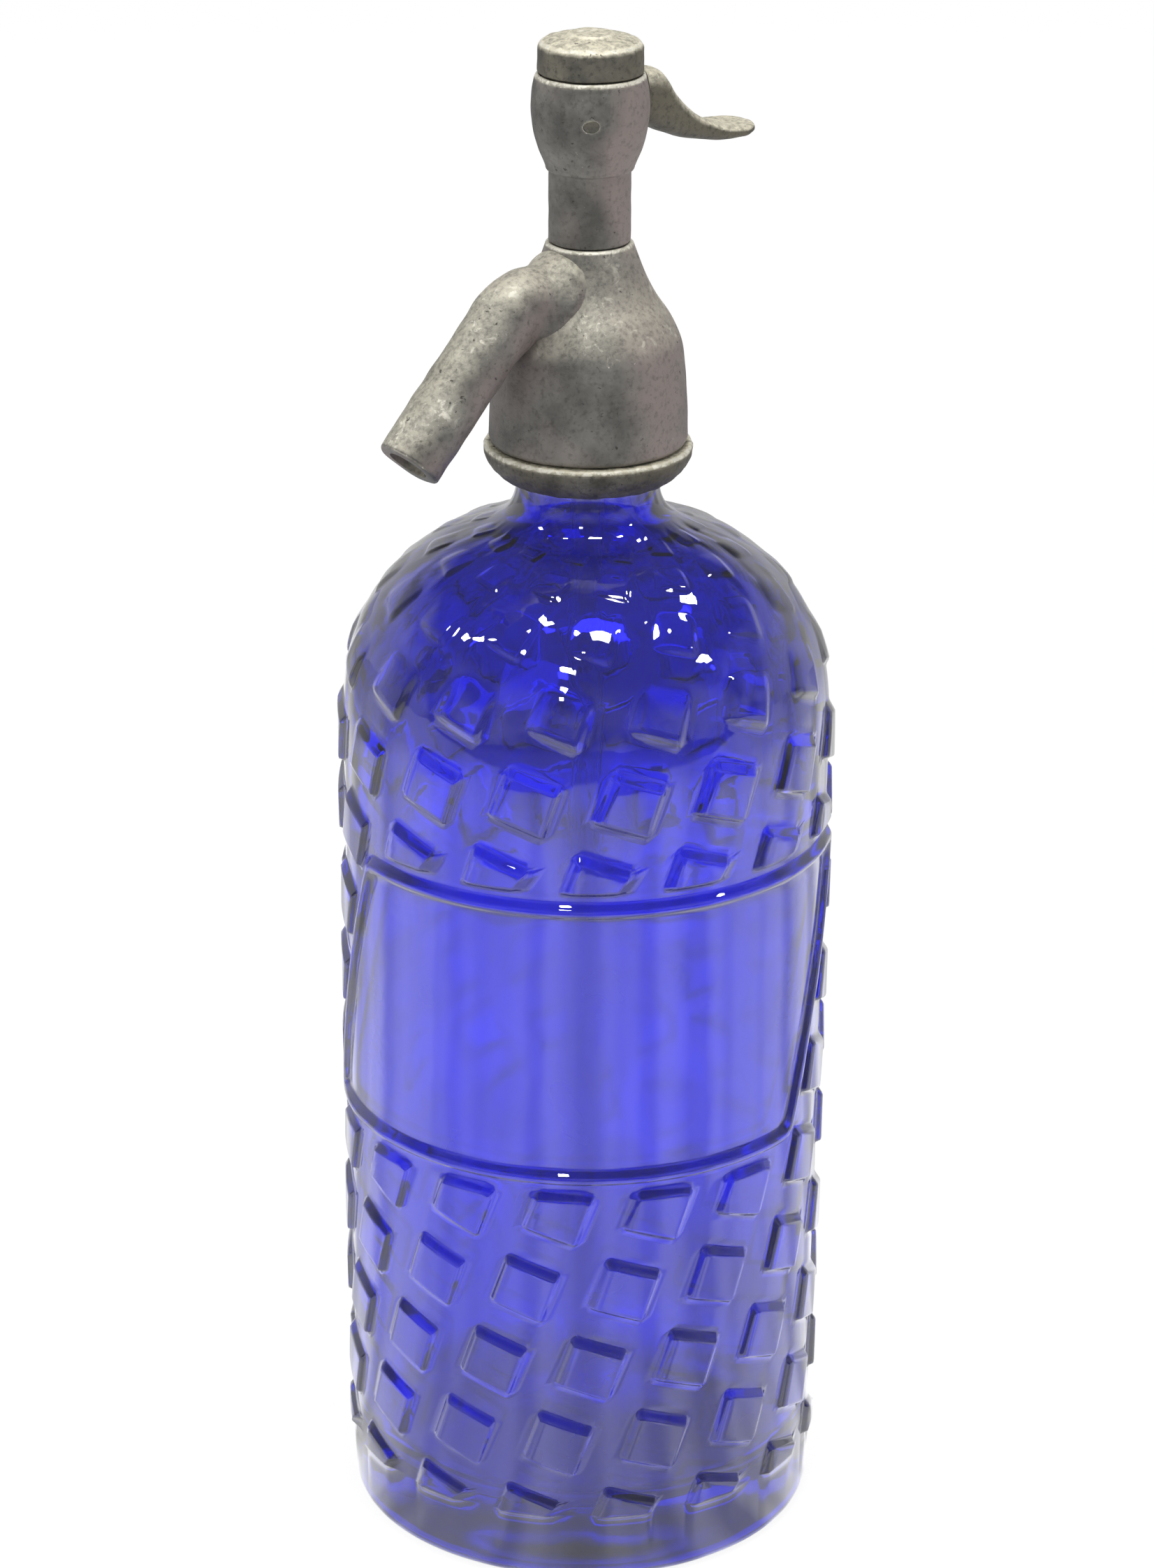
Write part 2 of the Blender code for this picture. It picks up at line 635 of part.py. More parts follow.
def make_collar(holder, metal):
    """Two half rings that close round the neck under the lip; the head screws onto them."""
    top = skirt_foot - SEAT_GAP
    flange = bell_radius + COLLAR_FLANGE_OVERHANG
    end_radius = neck_radius + SEAT_GAP + COLLAR_FOOT_WALL
    profile = [
        (lip_radius + SEAT_GAP, skirt_foot + SKIRT_LENGTH * SLEEVE_DEPTH_SHARE),
        (sleeve_radius, skirt_foot + SKIRT_LENGTH * SLEEVE_DEPTH_SHARE),
        (sleeve_radius, top),
        (flange - COLLAR_EDGE / 2, top),
        (flange, top - COLLAR_EDGE / 2),
        (flange, top - COLLAR_FLANGE_HEIGHT + 2 * COLLAR_EDGE),
        (flange - COLLAR_EDGE, top - COLLAR_FLANGE_HEIGHT),
        (end_radius + COLLAR_EDGE, top - COLLAR_FLANGE_HEIGHT - COLLAR_CONE_HEIGHT + COLLAR_EDGE / 2),
        (end_radius, top - COLLAR_FLANGE_HEIGHT - COLLAR_CONE_HEIGHT),
        (neck_radius + SEAT_GAP, top - COLLAR_FLANGE_HEIGHT - COLLAR_CONE_HEIGHT),
        (neck_radius + SEAT_GAP, lip_underside - LIP_OVERHANG / 2 - SEAT_GAP),
        (lip_radius + SEAT_GAP, lip_underside + LIP_OVERHANG / 2 - SEAT_GAP),
    ]
    reach = flange + CUT_OVERRUN
    low = top - COLLAR_FLANGE_HEIGHT - COLLAR_CONE_HEIGHT - CUT_OVERRUN
    high = head_face + CUT_OVERRUN
    halves = []
    for name, side in (("collar_half_front", -1), ("collar_half_rear", 1)):
        half = turned(name, profile)
        joint = SEAT_GAP / 2
        near, far = sorted((side * joint, -side * reach))
        cutter = box(name + "_cut", (-reach, near, low), (reach, far, high))
        cutter.data.transform(Matrix.Rotation(math.radians(FRONT_DEGREES + 90), 4, "Z"))
        combine(half, cutter, "DIFFERENCE")
        halves.append(finish(half, metal, holder))
    return halves


def make_neck_pieces(holder, rubber, glass, metal):
    """The rubber ring on the lip, and the dip tube hung in its holder by a rubber sleeve."""
    gasket_bore = NECK_BORE_RADIUS + GASKET_BORE_CLEARANCE
    finish(ring("lip_gasket", gasket_bore, lip_radius, lip_top + SEAT_GAP,
                lip_top + SEAT_GAP + GASKET_THICKNESS, steps=ROUND_STEPS), rubber, holder)
    tube_foot = glass_floor_top + TUBE_FLOOR_CLEARANCE
    finish(ring("dip_tube", TUBE_BORE_RADIUS, TUBE_RADIUS, tube_foot, tube_top), glass, holder)
    finish(ring("tube_sleeve", TUBE_RADIUS + SEAT_GAP, tube_sleeve_radius,
                tube_top - TUBE_SLEEVE_LENGTH, tube_top), rubber, holder)
    flange_top = head_face - SEAT_GAP
    flange_foot = flange_top - HOLDER_FLANGE_THICKNESS
    neck_fit = NECK_BORE_RADIUS - SEAT_GAP
    skirt_radius = holder_bore_radius + HOLDER_SKIRT_WALL
    skirt_end = flange_foot - HOLDER_SKIRT_LENGTH
    thread_radius = CHAMBER_RADIUS - SEAT_GAP
    profile = [
        (TUBE_BORE_RADIUS, holder_top), (thread_radius, holder_top), (thread_radius, flange_top),
        (neck_fit, flange_top), (neck_fit, flange_foot), (skirt_radius, flange_foot),
        (skirt_radius, skirt_end), (holder_bore_radius, skirt_end),
        (holder_bore_radius, holder_top - HOLDER_TOP_WALL), (TUBE_BORE_RADIUS, holder_top - HOLDER_TOP_WALL),
    ]
    finish(turned("tube_holder", profile, INNER_STEPS), metal, holder)


def spout_path(start):
    """Points along the spout's middle: level out of the bell, round the bend, down to the mouth."""
    slope = math.radians(SPOUT_SLOPE_DEGREES)
    level = bell_top - SPOUT_ROOT_DROP
    points = [Vector((start, 0, level)), Vector((-SPOUT_STRAIGHT, 0, level))]
    for i in range(1, SPOUT_BEND_STEPS + 1):
        turn = slope * i / SPOUT_BEND_STEPS
        points.append(Vector((-SPOUT_STRAIGHT - SPOUT_BEND_RADIUS * math.sin(turn), 0,
                              level - SPOUT_BEND_RADIUS * (1 - math.cos(turn)))))
    down = Vector((-math.cos(slope), 0, -math.sin(slope)))
    run = (SPOUT_REACH + points[-1].x) / math.cos(slope)
    mouth = points[-1] + down * run
    return points, mouth, down


def make_head_body(holder, metal):
    """Cast head: a skirt that screws onto the collar, the bell, the valve chamber and the spout."""
    span = bell_radius - bell_top_radius
    profile = [(0, bell_top), (bell_top_radius, bell_top)]
    profile += [(bell_top_radius + span * wide, skirt_foot + BELL_HEIGHT * high)
                for high, wide in BELL_SHARES]
    profile += [(bell_radius - RIM_BEVEL, skirt_foot), (0, skirt_foot)]
    body = turned("head_body", profile, closed=False)
    points, mouth, down = spout_path(0)
    edge = mouth - down * SPOUT_EDGE
    tube = tube_along("spout", points + [edge, mouth], SPOUT_RADIUS,
                      (SPOUT_RADIUS - SPOUT_EDGE) / SPOUT_RADIUS)
    combine(body, tube, "UNION")
    socket_floor = spigot_foot - SEAT_GAP
    socket_radius = SPIGOT_RADIUS + SEAT_GAP
    core = [
        (0, bell_top + CUT_OVERRUN), (socket_radius, bell_top + CUT_OVERRUN),
        (socket_radius, socket_floor), (PASSAGE_RADIUS, socket_floor),
        (PASSAGE_RADIUS, chamber_top), (CHAMBER_RADIUS, chamber_top),
        (CHAMBER_RADIUS, head_face), (skirt_bore_radius, head_face),
        (skirt_bore_radius, skirt_foot - CUT_OVERRUN), (0, skirt_foot - CUT_OVERRUN),
    ]
    combine(body, turned("head_core", core, closed=False), "DIFFERENCE")
    bore = tube_along("spout_bore", points + [mouth + down * CUT_OVERRUN], SPOUT_BORE_RADIUS,
                      resolution=4)
    combine(body, bore, "DIFFERENCE")
    return finish(body, metal, holder)


def make_valve_column(holder, metal):
    """Column screwed into the bell, with the cup that carries the lever and takes the cap."""
    span = CUP_RADIUS - COLUMN_RADIUS
    rim_radius = COLUMN_RADIUS + span * CUP_SHARES[0][1]
    profile = [(0, cup_rim), (rim_radius - RIM_BEVEL, cup_rim)]
    profile += [(COLUMN_RADIUS + span * wide, column_top + CUP_HEIGHT * high) for high, wide in CUP_SHARES]
    profile += [(COLUMN_RADIUS, column_top), (COLUMN_RADIUS, column_foot), (SPIGOT_RADIUS, column_foot),
                (SPIGOT_RADIUS, spigot_foot), (0, spigot_foot)]
    column = turned("valve_column", profile, closed=False)
    cone_foot = column_top + CUP_CONE_START
    core = [
        (0, cup_rim + CUT_OVERRUN), (cup_bore_radius, cup_rim + CUT_OVERRUN),
        (cup_bore_radius, cone_foot + CUP_CONE_HEIGHT), (COLUMN_BORE_RADIUS, cone_foot),
        (COLUMN_BORE_RADIUS, packing_top), (PACKING_RADIUS, packing_top),
        (PACKING_RADIUS, packing_floor), (stem_hole_radius, packing_floor),
        (stem_hole_radius, spigot_foot - CUT_OVERRUN), (0, spigot_foot - CUT_OVERRUN),
    ]
    combine(column, turned("column_core", core, closed=False), "DIFFERENCE")
    slot_half = TONGUE_HALF_WIDTH + SLOT_SIDE_CLEARANCE
    slot = box("lever_slot", (COLUMN_BORE_RADIUS, -slot_half, pivot.z - TONGUE_BELOW - SLOT_DROP),
               (CUP_RADIUS + CUT_OVERRUN, slot_half, pivot.z + TONGUE_ABOVE + SLOT_TOP_CLEARANCE))
    combine(column, slot, "DIFFERENCE")
    hole = rod_along_y("pin_hole", PIN_RADIUS + SLIDE_GAP, CUP_RADIUS + CUT_OVERRUN, pivot)
    combine(column, hole, "DIFFERENCE")
    return finish(column, metal, holder)


def make_cap(holder, metal):
    """Screw cap that closes the cup: a threaded skirt, a flange on the rim and a low crown."""
    foot = cup_rim + SEAT_GAP
    edge_top = foot + CAP_SIDE + CAP_EDGE
    crown = edge_top + CAP_CROWN
    spigot = cup_bore_radius - SEAT_GAP
    spigot_end = foot - CAP_SPIGOT_LENGTH
    profile = [
        (0, crown + CAP_BOSS_HEIGHT), (CAP_BOSS_RADIUS - CAP_BOSS_HEIGHT, crown + CAP_BOSS_HEIGHT),
        (CAP_BOSS_RADIUS, crown), ((CAP_BOSS_RADIUS + CAP_RADIUS) / 2, edge_top + CAP_CROWN / 2),
        (CAP_RADIUS - CAP_EDGE, edge_top), (CAP_RADIUS, foot + CAP_SIDE), (CAP_RADIUS, foot),
        (spigot, foot), (spigot, spigot_end), (spigot - CAP_WALL, spigot_end),
        (spigot - CAP_WALL, edge_top - CAP_WALL), (0, edge_top - CAP_WALL),
    ]
    return finish(turned("cap", profile, closed=False), metal, holder)


def make_valve_fittings(holder, brass, rubber):
    """The pieces that stay still round the stem: the seat below, the packing and its nut above."""
    seat = [
        (SEAT_BORE_RADIUS, seat_foot + SEAT_THICKNESS), (CHAMBER_RADIUS - SEAT_GAP, seat_foot + SEAT_THICKNESS),
        (CHAMBER_RADIUS - SEAT_GAP, seat_foot + SEAT_RIDGE), (SEAT_BORE_RADIUS + 2 * SEAT_RIDGE, seat_foot + SEAT_RIDGE),
        (SEAT_BORE_RADIUS + SEAT_RIDGE, seat_foot), (SEAT_BORE_RADIUS, seat_foot),
    ]
    finish(turned("valve_seat", seat, INNER_STEPS), brass, holder)
    finish(ring("stem_packing", stem_hole_radius, PACKING_RADIUS - SEAT_GAP, packing_floor + SEAT_GAP,
                packing_top), rubber, holder)
    finish(ring("packing_nut", stem_hole_radius, COLUMN_BORE_RADIUS - SEAT_GAP, packing_nut_foot,
                packing_nut_foot + PACKING_NUT_HEIGHT, PACKING_NUT_BEVEL), brass, holder)


def make_valve(holder, brass, rubber):
    """The pieces that the lever pushes down: stem, washer and disc, spring seat and nut."""
    tip = STEM_RADIUS - STEM_TIP_TAPER
    stem = [
        (0, stem_top), (tip, stem_top), (STEM_RADIUS, stem_top - STEM_TIP_TAPER),
        (STEM_RADIUS, stem_foot + STEM_TIP_TAPER), (tip, stem_foot), (0, stem_foot),
    ]
    finish(turned("valve_stem", stem, INNER_STEPS, closed=False), brass, holder)
    finish(ring("valve_washer", stem_hole_radius, WASHER_RADIUS, washer_top - WASHER_THICKNESS,
                washer_top), rubber, holder)
    disc = [
        (stem_hole_radius, disc_top), (DISC_RADIUS, disc_top), (DISC_RADIUS, disc_top - DISC_THICKNESS),
        (DISC_HUB_RADIUS, disc_top - DISC_THICKNESS), (DISC_HUB_RADIUS, stem_foot),
        (stem_hole_radius, stem_foot),
    ]
    finish(turned("valve_disc", disc, INNER_STEPS), brass, holder)
    finish(ring("spring_seat", stem_hole_radius, SPRING_SEAT_RADIUS, spring_seat_foot,
                spring_seat_foot + SPRING_SEAT_THICKNESS), brass, holder)
    nut_hole = stem_hole_radius / math.cos(math.pi / STEM_NUT_SIDES)
    finish(ring("stem_nut", nut_hole, STEM_NUT_RADIUS, stem_nut_foot,
                stem_nut_foot + STEM_NUT_HEIGHT, steps=STEM_NUT_SIDES), brass, holder)
    finish(make_spring(), brass, holder)


def make_spring():
    """Open coil spring between the packing nut and the seat on the stem."""
    rise = SPRING_HEIGHT - 2 * SPRING_WIRE_RADIUS
    count = round(SPRING_TURNS * SPRING_POINTS_PER_TURN)
    points = []
    for i in range(count + 1):
        turn = 2 * math.pi * SPRING_TURNS * i / count
        points.append((SPRING_RADIUS * math.cos(turn), SPRING_RADIUS * math.sin(turn),
                       spring_foot + SPRING_WIRE_RADIUS + rise * i / count))
    print("valve_spring least gap between turns, mm:",
          round((rise / SPRING_TURNS - 2 * SPRING_WIRE_RADIUS) * 1000, 3))
    return tube_along("valve_spring", points, SPRING_WIRE_RADIUS, resolution=1)


def lever_handle():
    """Loft of rounded sections: a deep root at the cup, a falling neck and a flat thumb piece."""
    start = CUP_RADIUS - CUP_WALL
    angles = np.arange(LEVER_SECTION_POINTS) * 2 * math.pi / LEVER_SECTION_POINTS
    across = np.sign(np.cos(angles)) * np.abs(np.cos(angles)) ** (2 / LEVER_SECTION_POWER)
    upward = np.sign(np.sin(angles)) * np.abs(np.sin(angles)) ** (2 / LEVER_SECTION_POWER)
    shape = bmesh.new()
    rings = []
    for reach, top, bottom, width in LEVER_SHARES:
        x = start + (LEVER_REACH - start) * reach
        high = pivot.z + (LEVER_TOP if top > 0 else LEVER_DROP) * top
        low = pivot.z + LEVER_DROP * bottom
        ys = across * width * LEVER_WIDTH / 2
        zs = (high + low) / 2 + upward * (high - low) / 2
        rings.append([shape.verts.new((x, y, z)) for y, z in zip(ys, zs)])
    for one, two in zip(rings, rings[1:]):
        for i in range(LEVER_SECTION_POINTS):
            j = (i + 1) % LEVER_SECTION_POINTS
            shape.faces.new((one[i], one[j], two[j], two[i]))
    shape.faces.new(rings[0][::-1])
    shape.faces.new(rings[-1])
    bmesh.ops.recalc_face_normals(shape, faces=shape.faces)
    mesh = bpy.data.meshes.new("lever")
    shape.to_mesh(mesh)
    shape.free()
    return new_object("lever", mesh)


def lever_tongue():
    """Flat tongue that enters the cup, with a round eye for the pin at its far end."""
    outline = []
    for i in range(TONGUE_EYE_STEPS + 1):
        turn = math.pi / 2 + math.pi * i / TONGUE_EYE_STEPS
        outline.append((pivot.x + TONGUE_EYE_RADIUS * math.cos(turn),
                        pivot.z + TONGUE_EYE_RADIUS * math.sin(turn)))
    shoulder = pivot.x + TONGUE_SHOULDER
    root = CUP_RADIUS + LEVER_CUP_CLEARANCE + CUT_OVERRUN
    outline += [(shoulder, pivot.z - TONGUE_BELOW), (root, pivot.z - TONGUE_BELOW),
                (root, pivot.z + TONGUE_ABOVE), (shoulder, pivot.z + TONGUE_ABOVE)]
    curve = bpy.data.curves.new("tongue", "CURVE")
    curve.dimensions = "2D"
    curve.fill_mode = "BOTH"
    curve.extrude = TONGUE_HALF_WIDTH
    spline = curve.splines.new("POLY")
    spline.points.add(len(outline) - 1)
    for point, (x, z) in zip(spline.points, outline):
        point.co = (x, z, 0, 1)
    spline.use_cyclic_u = True
    flat = bpy.data.objects.new("tongue", curve)
    parts.objects.link(flat)
    mesh = evaluated_mesh(flat)
    bpy.data.objects.remove(flat, do_unlink=True)
    for vert in mesh.vertices:
        vert.co = Vector((vert.co.x, -vert.co.z, vert.co.y))
    return new_object("tongue", mesh)


def make_lever(holder, metal):
    """Cast lever: the handle is hollowed to the cup's round wall, and the tongue joins it."""
    lever = lever_handle()
    wall = CUP_RADIUS + LEVER_CUP_CLEARANCE
    cup = turned("cup_clearance", [
        (0, cup_rim + CUT_OVERRUN), (wall, cup_rim + CUT_OVERRUN),
        (wall, column_top - CUT_OVERRUN), (0, column_top - CUT_OVERRUN)], closed=False)
    combine(lever, cup, "DIFFERENCE")
    combine(lever, lever_tongue(), "UNION")
    hole = rod_along_y("eye_hole", PIN_RADIUS + SLIDE_GAP, TONGUE_HALF_WIDTH + CUT_OVERRUN, pivot)
    combine(lever, hole, "DIFFERENCE")
    return finish(lever, metal, holder)


def make_lever_pin(holder, metal):
    """Pin across the cup; both ends follow the cup's wall and stand just proud of it."""
    pin = rod_along_y("lever_pin", PIN_RADIUS, CUP_RADIUS, pivot)
    reach = COLUMN_RADIUS + PIN_END_PROUD
    span = CUP_RADIUS - COLUMN_RADIUS
    wall = [(0, cup_rim), (reach, cup_rim)]
    wall += [(reach + span * wide, column_top + CUP_HEIGHT * high) for high, wide in CUP_SHARES]
    wall += [(reach, column_top), (0, column_top)]
    combine(pin, turned("pin_ends", wall, closed=False), "INTERSECT")
    return finish(pin, metal, holder)


def build():
    cobalt_glass = make_material("cobalt_glass", (0.055, 0.05, 0.62), 0.0, 0.05, 0.6)
    tube_glass = make_material("tube_glass", (0.60, 0.70, 0.85), 0.0, 0.05, 0.8)
    cast_metal = make_material("cast_metal", (0.16, 0.155, 0.145), 0.9, 0.5)
    worn_metal = make_material("worn_metal", (0.26, 0.25, 0.20), 0.9, 0.55)
    brass = make_material("brass", (0.55, 0.40, 0.16), 1.0, 0.35)
    rubber = make_material("rubber", (0.03, 0.028, 0.026), 0.0, 0.8)
    siphon = make_empty("siphon_axis", (0, 0, 0))
    lever_pivot = make_empty("lever_pivot", pivot)
    valve_lift = make_empty("valve_lift", (0, 0, stem_top))
    lever_pivot.parent = siphon
    valve_lift.parent = siphon
    bpy.context.view_layer.update()
    make_bottle(siphon, cobalt_glass)
    make_collar(siphon, worn_metal)
    make_neck_pieces(siphon, rubber, tube_glass, brass)
    make_head_body(siphon, cast_metal)
    make_valve_column(siphon, cast_metal)
    make_cap(siphon, worn_metal)
    make_valve_fittings(siphon, brass, rubber)
    make_lever_pin(siphon, worn_metal)
    make_valve(valve_lift, brass, rubber)
    make_lever(lever_pivot, cast_metal)


build()
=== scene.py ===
"""Soda siphon: the finish of a packed siphon of cobalt pressed glass with a cast metal head."""
import math

import bpy
import numpy as np
from mathutils import Matrix, Vector


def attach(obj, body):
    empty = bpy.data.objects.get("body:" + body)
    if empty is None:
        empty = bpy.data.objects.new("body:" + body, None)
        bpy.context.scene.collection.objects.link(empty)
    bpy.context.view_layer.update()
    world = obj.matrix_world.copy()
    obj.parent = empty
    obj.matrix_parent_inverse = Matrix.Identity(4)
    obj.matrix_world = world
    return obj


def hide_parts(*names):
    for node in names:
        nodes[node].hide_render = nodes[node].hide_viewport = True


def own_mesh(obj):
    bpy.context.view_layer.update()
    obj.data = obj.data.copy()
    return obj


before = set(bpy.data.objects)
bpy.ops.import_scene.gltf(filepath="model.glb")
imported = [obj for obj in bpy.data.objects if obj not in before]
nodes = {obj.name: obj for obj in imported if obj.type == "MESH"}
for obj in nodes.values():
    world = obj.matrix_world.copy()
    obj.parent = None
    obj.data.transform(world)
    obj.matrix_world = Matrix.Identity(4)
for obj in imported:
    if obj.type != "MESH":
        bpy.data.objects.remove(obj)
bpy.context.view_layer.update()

# Camera. It looks down 21.5 degrees at the side of the bottle that carries the bare panel, with
# the spout to the left and the lever to the right. Its distance and lens come from the ellipses
# of the foot, the panel's ribs and the collar.
VIEW_TURN = math.radians(-40)
VIEW_DISTANCE = 0.950
VIEW_HEIGHT = 0.5302
VIEW_PITCH = math.radians(21.47)
VIEW_ROLL = math.radians(0.4)
FOCAL_PIXELS = 7235
PICTURE_HEIGHT = 2245
PICTURE_WIDTH = 1652
AXIS_COLUMN = 838.4

camera_data = bpy.data.cameras.new("photograph_camera")
camera = bpy.data.objects.new("photograph_camera", camera_data)
bpy.context.scene.collection.objects.link(camera)
camera.location = (VIEW_DISTANCE * math.sin(VIEW_TURN), -VIEW_DISTANCE * math.cos(VIEW_TURN), VIEW_HEIGHT)
look = Vector((-math.sin(VIEW_TURN) * math.cos(VIEW_PITCH), math.cos(VIEW_TURN) * math.cos(VIEW_PITCH),
               -math.sin(VIEW_PITCH)))
turned_camera = look.to_track_quat("-Z", "Y").to_matrix() @ Matrix.Rotation(VIEW_ROLL, 3, "Z")
camera.rotation_euler = turned_camera.to_euler()
camera_data.sensor_fit = "VERTICAL"
camera_data.sensor_height = 24
camera_data.lens = 24 * FOCAL_PIXELS / PICTURE_HEIGHT
camera_data.shift_x = (PICTURE_WIDTH / 2 - AXIS_COLUMN) / PICTURE_HEIGHT
camera_data.clip_start = 0.01
bpy.context.scene.camera = camera
bpy.context.scene.view_settings.view_transform = "Standard"


# Floor and light. A white paper floor in a white room. Polished surfaces see a pale backdrop
# behind and a dim room before and above; rays through the glass see a small bright sheet and the
# dim room past it. Small lamps make the crisp white spots on the bottle's shoulder.
def linear(hex_colour):
    """An sRGB hex colour as linear red, green, blue and alpha 1."""
    values = np.array([int(hex_colour[i:i + 2], 16) for i in (1, 3, 5)]) / 255
    low = values / 12.92
    high = ((values + 0.055) / 1.055) ** 2.4
    return (*np.where(values <= 0.04045, low, high).tolist(), 1.0)


def add_node(tree, kind, inputs=(), **settings):
    """Adds a node; settings are its own properties.

    inputs are a dictionary by socket or a row in the sockets' order. Each is a value, a socket
    to link, or a node whose first output is linked.
    """
    node = tree.nodes.new("ShaderNode" + kind)
    for name, value in settings.items():
        setattr(node, name, value)
    for socket, value in inputs.items() if isinstance(inputs, dict) else enumerate(inputs):
        if isinstance(value, bpy.types.Node):
            value = value.outputs[0]
        if isinstance(value, bpy.types.NodeSocket):
            tree.links.new(value, node.inputs[socket])
        else:
            node.inputs[socket].default_value = value
    return node


def empty_material(name):
    """A material with nothing but its output node."""
    material = bpy.data.materials.new(name)
    material.use_nodes = True
    material.node_tree.nodes.clear()
    return material, material.node_tree, add_node(material.node_tree, "OutputMaterial")


ROOM_LIGHT = 0.5
ROOM_THROUGH_GLASS = (0.05, 0.34)
ABOVE_THROUGH_GLASS = 0.25
ROOM_BEFORE = (0.12, 0.40)
CEILING_SHARE = 0.07
BACKDROP_MIRRORED = 0.55
BACKDROP_WAY = (0.643, 0.766, 0)
RIGHT_WAY = (0.766, -0.643, 0)
FLOOR_SIZE = 8.0
FLOOR_SHARE = 0.88
FLOOR_SEEN = 1.04
PAPER_WHITE = (0.86, 0.86, 0.86, 1)
# Levels, at the left and at the right, of the painted shadows on the paper that rays through the glass see:
# under the bottle, and past its foot.
SHADOW_UNDER_GLASS = (0.34, 0.06)
SHADOW = (0.75, 0.28)
STREAKS_THROUGH = (0.74, 1.25)
STREAKS_MIRRORED = (0.6, 1.15)

# A span is where one level goes over into another, as a value of noise, the cosine of a
# direction, or metres on the floor: from the axis, to the picture's right, or behind the bottle.
NOISE_SPAN = (0.4, 0.6)
BACKDROP_SPAN = (0.0, 0.45)
CEILING_SPAN = (0.3, 0.6)
ABOVE_SPAN = (0.15, 0.8)
SHEET_SPAN = (0.393, 0.385)
UNDER_SPAN = (-0.025, 0.025)
RING_SPAN = (0.043, 0.050)
SHADOW_SPAN = (-0.02, 0.03)
SHADOW_NEAR_SPAN = (0.072, 0.084)
SHADOW_FAR_SPAN = (0.10, 0.16)
BEFORE_SPAN = (-0.70, -0.62)
DISTANT_SPAN = (0.45, 0.75)

world = bpy.data.worlds.new("white_room")
bpy.context.scene.world = world
world.use_nodes = True
room = world.node_tree
room.nodes.clear()
rays = add_node(room, "LightPath").outputs
heading = add_node(room, "TexCoord").outputs["Generated"]
upward = add_node(room, "SeparateXYZ", (heading,)).outputs["Z"]
backward = add_node(room, "VectorMath", (heading, BACKDROP_WAY), operation="DOT_PRODUCT").outputs["Value"]
clutter = add_node(room, "TexNoise", {"Vector": heading, "Scale": 2.6, "Detail": 2.0})
dim = add_node(room, "MapRange", (clutter, *NOISE_SPAN, *ROOM_BEFORE))
backdrop = add_node(room, "MapRange", (backward, *BACKDROP_SPAN, dim, BACKDROP_MIRRORED))
ceiling = add_node(room, "MapRange", (upward, *CEILING_SPAN, backdrop, CEILING_SHARE))
plain = add_node(room, "MapRange", (rays["Is Glossy Ray"], 0, 1, ROOM_LIGHT, ceiling))
beyond = add_node(room, "MapRange", (upward, *ABOVE_SPAN, ROOM_THROUGH_GLASS[0], ABOVE_THROUGH_GLASS))
glassed = add_node(room, "MapRange", (rays["Is Transmission Ray"], 0, 1, plain, beyond))
white = add_node(room, "MapRange", (rays["Is Camera Ray"], 0, 1, glassed, 1))
air = add_node(room, "Background", {"Color": (1, 1, 1, 1), "Strength": white})
add_node(room, "OutputWorld", {"Surface": air})

floor_material, tree, output = empty_material("white_paper")
rays = add_node(tree, "LightPath").outputs
place = add_node(tree, "TexCoord").outputs["Object"]
ray_way = add_node(tree, "VectorMath", (place,), operation="NORMALIZE")
from_axis = add_node(tree, "VectorMath", (place,), operation="LENGTH").outputs["Value"]
to_right = add_node(tree, "VectorMath", (place, RIGHT_WAY), operation="DOT_PRODUCT").outputs["Value"]
behind = add_node(tree, "VectorMath", (place, BACKDROP_WAY), operation="DOT_PRODUCT").outputs["Value"]
clutter = add_node(tree, "TexNoise", {"Vector": place, "Scale": 5.0, "Detail": 3.0})
narrow = add_node(tree, "TexNoise", {"Vector": ray_way, "Scale": 14.0, "Detail": 1.0})
wide = add_node(tree, "TexNoise", {"Vector": ray_way, "Scale": 3.2, "Detail": 1.0})
dim = add_node(tree, "MapRange", (clutter, *NOISE_SPAN, *ROOM_THROUGH_GLASS))
through = add_node(tree, "MapRange", (from_axis, *SHEET_SPAN, dim, 1))
# Painted shadow, seen only through the glass: the paper under the bottle is darkened, more to the right, and
# past a clear ring round the foot a second painted shadow lies on the right.
shadow_under_bottle = add_node(tree, "MapRange", (to_right, *UNDER_SPAN, *SHADOW_UNDER_GLASS))
ring = add_node(tree, "MapRange", (from_axis, *RING_SPAN, shadow_under_bottle, 1))
dark = add_node(tree, "MapRange", (to_right, *SHADOW_SPAN, *SHADOW))
near = add_node(tree, "MapRange", (from_axis, *SHADOW_NEAR_SPAN, 1, dark))
far = add_node(tree, "MapRange", (from_axis, *SHADOW_FAR_SPAN, dark, 1))
shadow = add_node(tree, "Math", (near, far), operation="MAXIMUM")
streaks = add_node(tree, "MapRange", (narrow, *NOISE_SPAN, *STREAKS_THROUGH))
for part in (ring, shadow, streaks):
    through = add_node(tree, "Math", (through, part), operation="MULTIPLY")
mirrored = add_node(tree, "MapRange", (behind, *BEFORE_SPAN, ROOM_BEFORE[0], 1))
streaks = add_node(tree, "MapRange", (wide, *NOISE_SPAN, *STREAKS_MIRRORED))
distant = add_node(tree, "MapRange", (from_axis, *DISTANT_SPAN, 1, BACKDROP_MIRRORED))
for part in (streaks, distant):
    mirrored = add_node(tree, "Math", (mirrored, part), operation="MULTIPLY")
direct = add_node(tree, "MapRange", (rays["Is Glossy Ray"], 0, 1, FLOOR_SEEN, mirrored))
bright = add_node(tree, "MapRange", (rays["Is Transmission Ray"], 0, 1, direct, through))
share = rays["Is Camera Ray"]
for part in (rays["Is Glossy Ray"], rays["Is Transmission Ray"]):
    share = add_node(tree, "Math", (share, part), operation="MAXIMUM")
share = add_node(tree, "Math", (share, FLOOR_SHARE), operation="MULTIPLY")
paper = add_node(tree, "BsdfDiffuse", {"Color": PAPER_WHITE})
